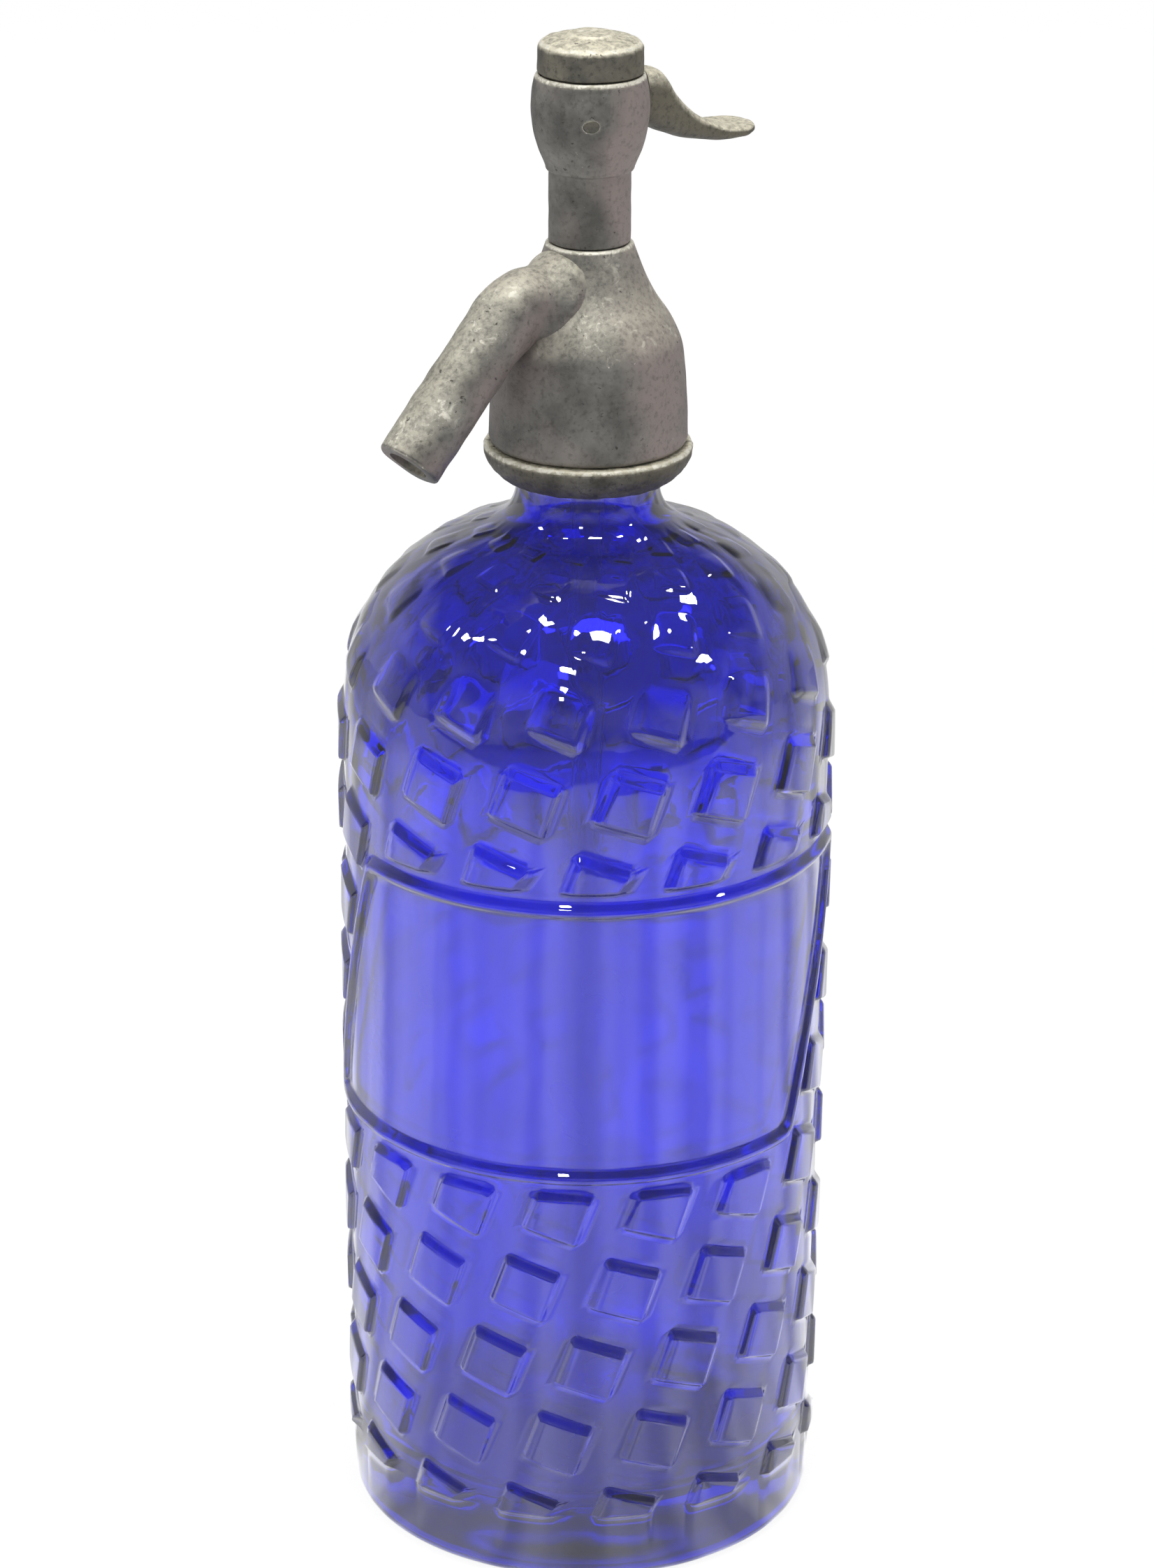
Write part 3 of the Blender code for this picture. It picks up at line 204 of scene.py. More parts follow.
glow = add_node(tree, "Emission", {"Color": (1, 1, 1, 1), "Strength": bright})
mixed = add_node(tree, "MixShader", (share, paper, glow))
tree.links.new(mixed.outputs[0], output.inputs["Surface"])
floor_mesh = bpy.data.meshes.new("floor")
half = FLOOR_SIZE / 2
floor_corners = [(-half, -half, 0), (half, -half, 0), (half, half, 0), (-half, half, 0)]
floor_mesh.from_pydata(floor_corners, [], [(0, 1, 2, 3)])
floor = bpy.data.objects.new("floor", floor_mesh)
floor.location = (0, 0, -0.0001)
bpy.context.scene.collection.objects.link(floor)
floor_mesh.materials.append(floor_material)

LAMP_AIM_HEIGHT = 0.18


def add_lamp(name, azimuth, elevation, distance, size, power):
    """A square lamp that faces the siphon from an azimuth and elevation in degrees."""
    data = bpy.data.lights.new(name, "AREA")
    data.shape = "SQUARE"
    data.size = size
    data.energy = power
    lamp = bpy.data.objects.new(name, data)
    turn = math.radians(azimuth)
    rise = math.radians(elevation)
    aim = Vector((math.sin(turn) * math.cos(rise), -math.cos(turn) * math.cos(rise), math.sin(rise)))
    lamp.location = Vector((0, 0, LAMP_AIM_HEIGHT)) + aim * distance
    lamp.rotation_euler = aim.to_track_quat("Z", "Y").to_euler()
    bpy.context.scene.collection.objects.link(lamp)
    return lamp


# Name, azimuth, elevation, distance, width of the square and power. No reflection shows the fills.
LAMPS = (
    ("overhead_panel", -19, 74, 1.5, 0.28, 6.5), ("lamp_left_low", -123, 44, 1.6, 0.14, 2.6),
    ("lamp_left_high", -99, 71, 1.6, 0.12, 2.0), ("lamp_right", 32, 62, 1.6, 0.12, 2.0),
    ("lamp_front", -51, 44, 1.8, 0.12, 2.0), ("lamp_behind", 140, 62, 1.6, 0.14, 2.2),
    ("lamp_right_low", 32, 36, 1.7, 0.08, 1.0), ("lamp_far_left", -140, 64, 1.6, 0.10, 1.4),
    ("lamp_far_right", 75, 56, 1.6, 0.10, 1.4))
FILLS = (("soft_fill_left", -75, 35, 2.0, 1.2, 15.0), ("soft_fill_right", 40, 25, 2.0, 1.2, 7.5))
for lamp in LAMPS:
    add_lamp(*lamp)
for lamp in FILLS:
    add_lamp(*lamp).visible_glossy = False


# Bottle. Thick cobalt glass pressed in a mould: a slanting lattice of tilted square pads, a
# framed bare panel, a round shoulder and a short neck with a lip. The inside is smooth but wavy.
BODY_RADIUS = 0.0488
FOOT_RADIUS = 0.0476
FOOT_ROUNDING = 0.0032
SHOULDER_START = 0.1720
SHOULDER_RISE = 0.0425
SHOULDER_POWER = 2.35
NECK_RADIUS = 0.0142
NECK_BLEND = 0.0078
NECK_TOP = 0.2210
LIP_UNDERSIDE = 0.2267
LIP_TOP = 0.2330
LIP_OVERHANG = 0.0022
BORE_RADIUS = 0.0086
WALL = 0.0048
INNER_FLOOR = 0.0131
INNER_ROUNDING = 0.0090
PUNT_RISE = 0.0036
PUNT_RADIUS = 0.0355
PADS_ROUND = 15
PAD_SIZE = 0.0116
PAD_PROUD = 0.0013
PAD_OUT = 0.0003
PAD_SLOPES = (0.0014, 0.0007, 0.0020, 0.0007)
PAD_TILT = math.radians(19)
SOFT_START = 0.1660
SOFT_SPAN = 0.0360
SOFT_SLOPES = 2.0
SOFT_LOSS = 0.6
ROW_PITCH = 0.0176
MIDDLE_ROW = 0.0840
FIRST_ROW = -4
LAST_ROW = 9
LOWEST_PAD_EDGE = 0.0150
FRONT = math.radians(-130)
PATTERN_TURN = math.radians(-5.8)
PANEL_FIRST_CELL = -3
PANEL_CELLS = 6
PANEL_ROWS = 3
RIB_SPACE = 0.0063
RIB_WIDTH = 0.0034
RIB_PROUD = 0.0013
RIB_CREST = 0.45
PANEL_MARGIN = 0.0018
# Shares of a pad, of a gap between pads and of a rib at which the mesh has its lines.
PAD_SPLIT = (0, 0.03, 0.06, 0.11, 0.22, 0.4, 0.6, 0.78, 0.81, 0.845, 0.89, 0.94, 0.97)
GAP_SPLIT = (0, 0.06, 0.25, 0.5, 0.75, 0.94)
BESIDE_RIB_SPLIT = (0, 0.1, 0.5, 0.88)
RIB_SPLIT = (0, 0.16, 0.34, 0.5, 0.66, 0.84)
SLANT_ROWS = 3
PAD_STRAIGHT = 0.75
FRAME_SOFTNESS = 0.02
RIB_STRETCH = 1.1
RIB_STEEPNESS = 1.2
LIP_BEAD = 0.0013
LIP_BEAD_RISE = 0.0011
LIP_EDGE = 0.0009
MOUTH_EDGE = 0.0008
NECK_END = 0.0010
WAVE_OUTSIDE = 0.00004
WAVE_INSIDE = 0.00022
WAVE_CREST = 1.6
WAVES = ((1.0, 3, 61, 0.7), (0.8, 5, -93, 2.1), (0.7, 8, 150, 4.0), (0.6, 2, -215, 1.2), (0.5, 13, -240, 5.1))
RIPPLE = 0.00004
RIPPLES = (((31, 310, 1.1), (17, -520, 0.3)), ((43, -170, 2.5), (11, 780, 0.0)))
OUTLINE_POINTS = 240


def glass_outline(inset, neck, low):
    """Radius and height of the glass, moved in by inset, from height low up to the neck.

    The wall tapers in a straight line to the foot. The shoulder is a superellipse of the given
    power, and a parabola turns it up into the neck.
    """
    body = BODY_RADIUS - inset
    share = np.linspace(0, 1, OUTLINE_POINTS)
    wall_z = low + (SHOULDER_START - low) * share
    wall_r = FOOT_RADIUS - inset + (BODY_RADIUS - FOOT_RADIUS) * wall_z / SHOULDER_START
    start = neck + NECK_BLEND
    exponent = 2 / SHOULDER_POWER
    sweep = math.acos((start / body) ** (1 / exponent)) * share
    dome_r = body * np.cos(sweep) ** exponent
    dome_z = SHOULDER_START + (SHOULDER_RISE - inset) * np.sin(sweep) ** exponent
    slope = (dome_z[-1] - dome_z[-2]) / (dome_r[-2] - dome_r[-1])
    corner = dome_z[-1] + slope * NECK_BLEND
    neck_r = start * (1 - share) ** 2 + neck * (1 - (1 - share) ** 2)
    neck_z = dome_z[-1] * (1 - share) ** 2 + corner * 2 * share * (1 - share) + NECK_TOP * share ** 2
    return np.concatenate([wall_r, dome_r[1:], neck_r[1:]]), np.concatenate([wall_z, dome_z[1:], neck_z[1:]])


def smooth_step(value):
    """0 below 0, 1 above 1, and a smooth S between."""
    value = np.clip(value, 0, 1)
    return value * value * (3 - 2 * value)


def fill_lines(lines, splits):
    """More lines between each pair of neighbours, at the shares that splits gives for that pair."""
    first = np.repeat(np.arange(len(splits)), [len(shares) for shares in splits])
    share = np.concatenate(splits).reshape(-1, *[1] * (lines.ndim - 1))
    return lines[first] * (1 - share) + lines[first + 1] * share


def skin(name, rings, looped=False, inside=None):
    """A closed mesh over rings of points, an array of shape (rings, points round, 3).

    Neighbouring rings are joined by quads. A looped skin joins its last ring to its first, and
    any other gets a flat face over each end. inside, from 0 to 1 at each point, becomes a point
    attribute.
    """
    count, round_count = rings.shape[:2]
    index = np.arange(count * round_count).reshape(count, round_count)
    if looped:
        index = np.concatenate([index, index[:1]])
    after = np.roll(index, -1, axis=1)
    faces = np.stack([index[:-1], after[:-1], after[1:], index[1:]], axis=-1).reshape(-1, 4).tolist()
    if not looped:
        faces += [index[0, ::-1].tolist(), index[-1].tolist()]
    mesh = bpy.data.meshes.new(name)
    mesh.from_pydata(rings.reshape(-1, 3).tolist(), [], faces)
    mesh.update()
    mesh.shade_smooth()
    if inside is not None:
        mesh.attributes.new("inside", "FLOAT", "POINT").data.foreach_set("value", inside.ravel())
    piece = bpy.data.objects.new(name, mesh)
    bpy.context.scene.collection.objects.link(piece)
    return piece


outer_r, outer_z = glass_outline(0, NECK_RADIUS, FOOT_ROUNDING)
step = np.hypot(np.diff(outer_r), np.diff(outer_z)) * 2 / (outer_r[1:] + outer_r[:-1])
along = np.concatenate([[0], np.cumsum(step)])
along -= np.interp(MIDDLE_ROW, outer_z, along)
outward = np.array([np.gradient(outer_z), -np.gradient(outer_r)])
outward_r, outward_z = outward / np.hypot(*outward)

# A place on the glass is an angle round the bottle and a height "along": the length up the
# outline over the radius there, so that a square on this map is a square on the glass.
pitch = 2 * math.pi / PADS_ROUND
pad_half = PAD_SIZE / 2 / BODY_RADIUS
row_step = ROW_PITCH / BODY_RADIUS
rib_half = RIB_WIDTH / 2 / BODY_RADIUS
low_rib = RIB_SPACE / BODY_RADIUS + rib_half
high_rib = (PANEL_ROWS + 1) * row_step - RIB_SPACE / BODY_RADIUS + rib_half
margin = PANEL_MARGIN / BODY_RADIUS + rib_half
lowest = np.interp(LOWEST_PAD_EDGE, outer_z, along)
rib_share = rib_half / (pitch - 2 * pad_half)
left_cell = PANEL_FIRST_CELL - 1
right_cell = PANEL_FIRST_CELL + PANEL_CELLS - 1

# Upright lines of the mesh: a pad's left edge is side -1 and its right edge is side +1, and a
# share between 0 and 1 lies in the gap to the next pad.
line_cells = []
line_sides = []
column_splits = []
for cell in range(left_cell, left_cell + PADS_ROUND):
    with_rib = cell in (left_cell, right_cell)
    line_sides += [-1, 1] + [0.5 - rib_share, 0.5 + rib_share] * with_rib
    line_cells += [cell] * (4 if with_rib else 2)
    column_splits.append(PAD_SPLIT)
    column_splits += [BESIDE_RIB_SPLIT, RIB_SPLIT, BESIDE_RIB_SPLIT] if with_rib else [GAP_SPLIT]
line_cells = np.array(line_cells + [left_cell + PADS_ROUND])
line_sides = np.array(line_sides + [-1])


def pad_corner(row, cell, side, end):
    """Angle and height along of a corner of a pad: the pad's centre plus its tilted half sides."""
    turn = PATTERN_TURN + pitch * (cell + row / SLANT_ROWS)
    turn = turn + pad_half * (side * math.cos(PAD_TILT) + end * math.sin(PAD_TILT))
    rise = row_step * row + pad_half * (end * math.cos(PAD_TILT) - side * math.sin(PAD_TILT))
    return np.stack([turn, rise + 0 * cell], axis=-1)


def pattern_line(row, end):
    """The mesh line through the lower (end -1) or upper (end +1) corners of a row of pads."""
    edge = pad_corner(row, line_cells, line_sides, end)
    right = pad_corner(row, line_cells, 1, end)
    left = pad_corner(row, line_cells + 1, -1, end)
    between = right + (left - right) * line_sides[:, None]
    return np.where(np.abs(line_sides)[:, None] == 1, edge, between)


panel = np.arange(len(line_cells))
panel = (panel >= 2) & (panel <= np.flatnonzero(line_cells == right_cell)[-1])
lines = []
row_splits = []
for row in range(FIRST_ROW, LAST_ROW + 1):
    low, high = pattern_line(row, -1), pattern_line(row, 1)
    if row == FIRST_ROW:
        low[:, 1] = np.maximum(low[:, 1], lowest)
    if row == 0:
        high[panel, 1] = np.minimum(high[panel, 1], low_rib - margin)
    if row == PANEL_ROWS + 1:
        low[panel, 1] = np.maximum(low[panel, 1], high_rib + margin)
    if row in (1, PANEL_ROWS + 1):
        below = lines[-1]
        middle = low_rib if row == 1 else high_rib
        for share, height in ((1 / 3, middle - rib_half), (2 / 3, middle + rib_half)):
            part = np.where(panel, (height - below[:, 1]) / (low[:, 1] - below[:, 1]), share)
            lines.append(below + (low - below) * part[:, None])
        row_splits += [BESIDE_RIB_SPLIT, RIB_SPLIT, BESIDE_RIB_SPLIT]
    elif row > FIRST_ROW:
        row_splits.append(GAP_SPLIT)
    lines += [low, high]
    row_splits.append(PAD_SPLIT)
row_splits[-1] = PAD_SPLIT + (1,)
grid = fill_lines(np.swapaxes(fill_lines(np.array(lines + [lines[-1]]), row_splits), 0, 1), column_splits)
angle, place = np.moveaxis(grid, (0, 1, 2), (2, 1, 0))


def softness(height):
    """0 on the wall and 1 on top of the shoulder, where the fire has rounded the glass."""
    return smooth_step((height - SOFT_START) / SOFT_SPAN)


def pad_rise(angle, place):
    """Height of the pads over the wall.

    Each side of the nearest pad has a straight slope of its own width: left, right, upper and
    lower. Where two slopes meet, what they lack of the full height is added as the sides of a
    right-angled triangle, which rounds the corner. On the shoulder the pads lie softer and lower.
    """
    soft = softness(np.interp(place, along, outer_z))
    row = np.clip(np.round(place / row_step), FIRST_ROW, LAST_ROW)
    turn = angle - PATTERN_TURN - pitch * row / SLANT_ROWS
    cell = np.round(turn / pitch)
    across, up = turn - pitch * cell, place - row_step * row
    x = across * math.cos(PAD_TILT) - up * math.sin(PAD_TILT)
    y = across * math.sin(PAD_TILT) + up * math.cos(PAD_TILT)
    cell = (cell - left_cell) % PADS_ROUND
    beside = (cell >= 1) & (cell <= PANEL_CELLS)
    low = np.where(row == FIRST_ROW, np.minimum(y + pad_half, place - lowest), y + pad_half)
    low = np.where((row == PANEL_ROWS + 1) & beside, np.minimum(low, place - high_rib - margin), low)
    high = np.where((row == 0) & beside, np.minimum(pad_half - y, low_rib - margin - place), pad_half - y)
    sides = np.stack([x + pad_half, pad_half - x, high, low]) * BODY_RADIUS + PAD_OUT
    slopes = np.minimum(sides / np.reshape(PAD_SLOPES, (4, 1, 1)) / (1 + SOFT_SLOPES * soft), 1)
    lack = np.hypot(1 - np.minimum(slopes[0], slopes[1]), 1 - np.minimum(slopes[2], slopes[3]))
    share = np.where((row >= 1) & (row <= PANEL_ROWS) & beside, 0, np.clip(1 - lack, 0, 1))
    rounded_share = PAD_STRAIGHT * share + (1 - PAD_STRAIGHT) * smooth_step(share)
    return PAD_PROUD * (1 - SOFT_LOSS * soft) * rounded_share


def frame_rise(angle, place):
    """Height of the panel's frame: a ridge on the outline of a slanting, round-cornered box.

    The smallest distance to the four sides is taken softly, as minus the logarithm of a sum of
    exponentials, so that the frame turns its corners in a curve. The ridge's crest lies below
    its middle line, which makes its upper slope the wider one.
    """
    lean = pitch / SLANT_ROWS / row_step
    straight = math.cos(math.atan(lean))
    turn = angle - PATTERN_TURN - lean * place
    from_left = (turn - pitch * (left_cell + 0.5)) * straight
    from_right = (pitch * (right_cell + 0.5) - turn) * straight
    sides = np.stack([from_left, from_right, place - low_rib, high_rib - place])
    nearest = np.min(sides, axis=0)
    share = np.exp(-np.clip((sides - nearest) / FRAME_SOFTNESS, 0, 40))
    total = np.sum(share, axis=0)
    inside = (nearest - FRAME_SOFTNESS * np.log(total)) / (rib_half * RIB_STRETCH)
    crest = RIB_CREST * (share[3] - share[2]) / total
    width = np.where(inside > crest, 1 - crest, 1 + crest)
    return RIB_PROUD * smooth_step(RIB_STEEPNESS * (1 - np.abs(inside - crest) / width))


def waves(angle, height, size):
    """Slow uneven waves of pressed glass: a sum of sines round and up the bottle.

    WAVES gives each one's strength, waves round the bottle, radians a metre up it, and phase.
    """
    sines = [strength * np.sin(turns * angle + climb * height + phase)
             for strength, turns, climb, phase in WAVES]
    return size * sum(sines) / WAVE_CREST


def ripples(angle, height):
    """Small ripples, about 7 mm long, in the fire-polished shoulder: products of two sines."""
    sines = [[np.sin(turns * angle + climb * height + phase) for turns, climb, phase in pair]
             for pair in RIPPLES]
    return RIPPLE * sum(first * second for first, second in sines) * softness(height)


def turned_rings(turn, radius, height):
    """Rings of points (radius cos turn, radius sin turn, height), one for each radius and height."""
    radius, height = np.atleast_1d(radius)[:, None], np.atleast_1d(height)[:, None]
    return np.stack([radius * np.cos(turn), radius * np.sin(turn), height + 0 * turn * radius], axis=-1)


def arc(middle_r, middle_z, radius, start, end, count):
    """Radius and height of points on a rounded edge, from angle start to end in degrees."""
    sweep = np.radians(np.linspace(start, end, count))
    return middle_r + radius * np.cos(sweep), middle_z + radius * np.sin(sweep)


plain_r, plain_z = np.interp(place, along, outer_r), np.interp(place, along, outer_z)
rise = np.maximum(pad_rise(angle, place) * plain_r / BODY_RADIUS, frame_rise(angle, place))
rise += waves(angle, plain_z, WAVE_OUTSIDE) + ripples(angle, plain_z)
wall_r = plain_r + rise * np.interp(place, along, outward_r)
wall_z = plain_z + rise * np.interp(place, along, outward_z)
wall = np.stack([wall_r * np.cos(angle + FRONT), wall_r * np.sin(angle + FRONT), wall_z], axis=-1)

low_turn, high_turn = angle[0] + FRONT, angle[-1] + FRONT
punt = np.array([0.3, 0.6, 0.85, 1.0])
heel_r, heel_z = arc(FOOT_RADIUS - FOOT_ROUNDING, FOOT_ROUNDING, FOOT_ROUNDING, -90, 0, 9)
underside = np.concatenate([
    turned_rings(low_turn, PUNT_RADIUS * punt, PUNT_RISE * (1 - punt ** 2)),
    turned_rings(low_turn, PUNT_RADIUS + 0.0008, 0), turned_rings(low_turn, heel_r, heel_z)])
below_pads = np.array([0.25, 0.5, 0.8])[:, None, None]
below_pads = underside[-1] * (1 - below_pads) + wall[0] * below_pads
level = place[-1].max() + (along[-1] - place[-1].max()) * np.linspace(0.08, 1, 12)
neck = turned_rings(high_turn, np.interp(level, along, outer_r), np.interp(level, along, outer_z))
lip_out = NECK_RADIUS + LIP_OVERHANG
bead_r, bead_z = arc(lip_out - LIP_BEAD, LIP_UNDERSIDE + LIP_BEAD_RISE, LIP_BEAD, -80, 0, 6)
edge_r, edge_z = arc(lip_out - LIP_EDGE, LIP_TOP - LIP_EDGE, LIP_EDGE, 0, 90, 5)
mouth_r, mouth_z = arc(BORE_RADIUS + MOUTH_EDGE, LIP_TOP - MOUTH_EDGE, MOUTH_EDGE, 90, 180, 5)
lip = turned_rings(high_turn, np.concatenate([[NECK_RADIUS], bead_r, edge_r, mouth_r]),
                   np.concatenate([[LIP_UNDERSIDE - NECK_END], bead_z, edge_z, mouth_z]))
inner_r, inner_z = glass_outline(WALL, BORE_RADIUS, INNER_FLOOR + INNER_ROUNDING)
chosen = np.concatenate([np.linspace(len(inner_r) - 1, OUTLINE_POINTS, 40),
                         np.linspace(OUTLINE_POINTS - 8, 0, 34)]).astype(int)
floor_r, floor_z = arc(inner_r[0] - INNER_ROUNDING, INNER_FLOOR + INNER_ROUNDING, INNER_ROUNDING, -10, -90, 8)
inside_r = np.concatenate([inner_r[chosen], floor_r, floor_r[-1] * np.array([0.75, 0.5, 0.25])])
inside_z = np.concatenate([inner_z[chosen], floor_z, floor_z[-1:], floor_z[-1:], floor_z[-1:]])
cavity = turned_rings(high_turn, inside_r, inside_z)
wave_r = waves(high_turn, inside_z[:, None], WAVE_INSIDE) * smooth_step((inside_r - 0.012) / 0.02)[:, None]
wave_r *= smooth_step((inside_z - INNER_FLOOR - 0.002) / 0.008)[:, None]
cavity[..., 0] += wave_r * np.cos(high_turn)
cavity[..., 1] += wave_r * np.sin(high_turn)
bottle_rings = np.concatenate([underside, below_pads, wall, neck, lip, cavity])
is_inside = np.zeros(bottle_rings.shape[:2])
is_inside[-len(cavity):] = 1
bottle = skin("pressed_glass_bottle", bottle_rings, inside=is_inside)

# Cobalt soda-lime glass: its colour comes from the depth of glass that light passes. The
# outside is fire-polished with slow waves; the inside has a thin mineral haze from hard water.
GLASS_TINT = "#1812fe"
GLASS_DENSITY = 400.0
HAZE = (0.12, 0.3)
HAZE_SPAN = (0.3, 0.7)
LIME_ABOVE = 0.12
LIMED_SPAN = (0.166, 0.150)
cobalt, tree, output = empty_material("cobalt_pressed_glass")
place_on = add_node(tree, "TexCoord").outputs["Object"]
slow = add_node(tree, "TexNoise", {"Vector": place_on, "Scale": 55.0, "Detail": 2.0})
fine = add_node(tree, "TexNoise", {"Vector": place_on, "Scale": 420.0, "Detail": 1.0})
uneven_glass = add_node(tree, "Math", (fine, 0.12, slow), operation="MULTIPLY_ADD")
dimple = add_node(tree, "Bump", {"Strength": 0.22, "Distance": 0.0006, "Height": uneven_glass})
inner = add_node(tree, "Attribute", attribute_name="inside").outputs["Fac"]
level = add_node(tree, "SeparateXYZ", (place_on,)).outputs["Z"]
haze = add_node(tree, "MapRange", (slow, *HAZE_SPAN, *HAZE))
limed = add_node(tree, "MapRange", (level, *LIMED_SPAN, LIME_ABOVE, 1))
for part in (limed, inner):
    haze = add_node(tree, "Math", (haze, part), operation="MULTIPLY")
glass = add_node(tree, "BsdfPrincipled", {
    "Base Color": (1, 1, 1, 1), "Roughness": haze, "IOR": 1.52, "Transmission Weight": 0.985,
    "Coat Weight": 1.0, "Coat IOR": 1.7, "Coat Roughness": 0.0, "Normal": dimple})
depth = add_node(tree, "VolumeAbsorption", {"Color": linear(GLASS_TINT), "Density": GLASS_DENSITY})
tree.links.new(glass.outputs[0], output.inputs["Surface"])
tree.links.new(depth.outputs[0], output.inputs["Volume"])
bottle.data.materials.append(cobalt)
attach(bottle, "siphon")
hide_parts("bottle")


# Dip tube. A clear drawn tube of soda glass that hangs from the head down to the bottle's floor.
# It has a little lime on it and is seen only dimly through the blue wall.
tube_glass, tree, output = empty_material("clear_tube_glass")
place_on = add_node(tree, "TexCoord").outputs["Object"]
lime = add_node(tree, "TexNoise", {"Vector": place_on, "Scale": 160.0, "Detail": 3.0})
rough = add_node(tree, "MapRange", (lime, 0, 1, 0.02, 0.16))
clear = add_node(tree, "BsdfPrincipled", {
    "Base Color": linear("#f2f6f6"), "Roughness": rough, "IOR": 1.2, "Transmission Weight": 0.96})
tree.links.new(clear.outputs[0], output.inputs["Surface"])
nodes["dip_tube"].material_slots[0].material = tube_glass


# Collar. Two half rings of cast tin alloy close round the neck under the lip, and the head
# screws down on them. Their rim has gone rough and pitted, with a rubbed bright upper edge.
HALVES_GAP = 0.0003
SPLIT_TURN = math.radians(-40)
COLLAR_RADIUS = 0.0195
COLLAR_RUBBED = (0.0203, 0.2289)
COLLAR_OUTLINE = (
    (0.0167, 0.23513), (0.0177, 0.23513), (0.0177, 0.2292), (0.0206, 0.2292), (0.02055, 0.2270),
    (0.0193, 0.2248), (0.0176, 0.2231), (0.0166, 0.2224), (0.0145, 0.2224), (0.0145, 0.2253),
    (0.0167, 0.2275))
COLLAR_CUTS = (0.0003, 0.0003, 0.0002, 0.0007, 0.0008, 0.0008, 0.0008, 0.0005, 0.0003, 0.0003, 0.0003)


def rounded(outline, cuts, spacing, closed=True):
    """Radius and height along an outline whose corners are rounded, at an even spacing.

    Each corner becomes a parabola between the two points that lie a cut away from it.
    """
    corner = np.array(outline)
    cuts = np.broadcast_to(np.asarray(cuts, dtype=float), len(corner))[:, None]
    before, after = np.roll(corner, 1, axis=0) - corner, np.roll(corner, -1, axis=0) - corner
    before = before / np.linalg.norm(before, axis=1, keepdims=True) * cuts
    after = after / np.linalg.norm(after, axis=1, keepdims=True) * cuts
    if not closed:
        before[0], after[0], before[-1], after[-1] = 0, 0, 0, 0
    share = np.linspace(0, 1, 7)[None, :, None]
    bend = corner[:, None] + before[:, None] * (1 - share) ** 2 + after[:, None] * share ** 2
    line = bend.reshape(-1, 2)
    if closed:
        line = np.concatenate([line, line[:1]])
    travelled = np.concatenate([[0], np.cumsum(np.linalg.norm(np.diff(line, axis=0), axis=1))])
    even = np.linspace(0, travelled[-1], max(8, int(travelled[-1] / spacing)), endpoint=not closed)
    return np.interp(even, travelled, line[:, 0]), np.interp(even, travelled, line[:, 1])


def swept(turn, radius, height):
    """Sections of an outline carried round the axis: one section for each angle."""
    turn = turn[:, None]
    return np.stack([radius * np.cos(turn), radius * np.sin(turn), height + 0 * turn], axis=-1)


def uneven(points, size, scale=1.0):
    """Moves points by the slow unevenness of a sand casting: products of sines along each axis."""
    x, y, z = np.moveaxis(points * 1000 * scale, -1, 0)
    shift_x = np.sin(0.9 * x + 1.3) * np.sin(0.7 * y + 0.4) + 0.6 * np.sin(1.7 * z + 0.8 * y)
    shift_y = np.sin(0.8 * y + 2.1) * np.sin(0.6 * z + 1.9) + 0.6 * np.sin(1.5 * x + 0.9 * z + 2.0)
    shift_z = np.sin(0.7 * z + 0.2) * np.sin(0.9 * x + 3.0) + 0.6 * np.sin(1.6 * y + 0.7 * x + 4.0)
    return points + size * np.stack([shift_x, shift_y, shift_z], axis=-1)


HOLE_DEPTH = 0.8
WEAR_REACH = 0.0009


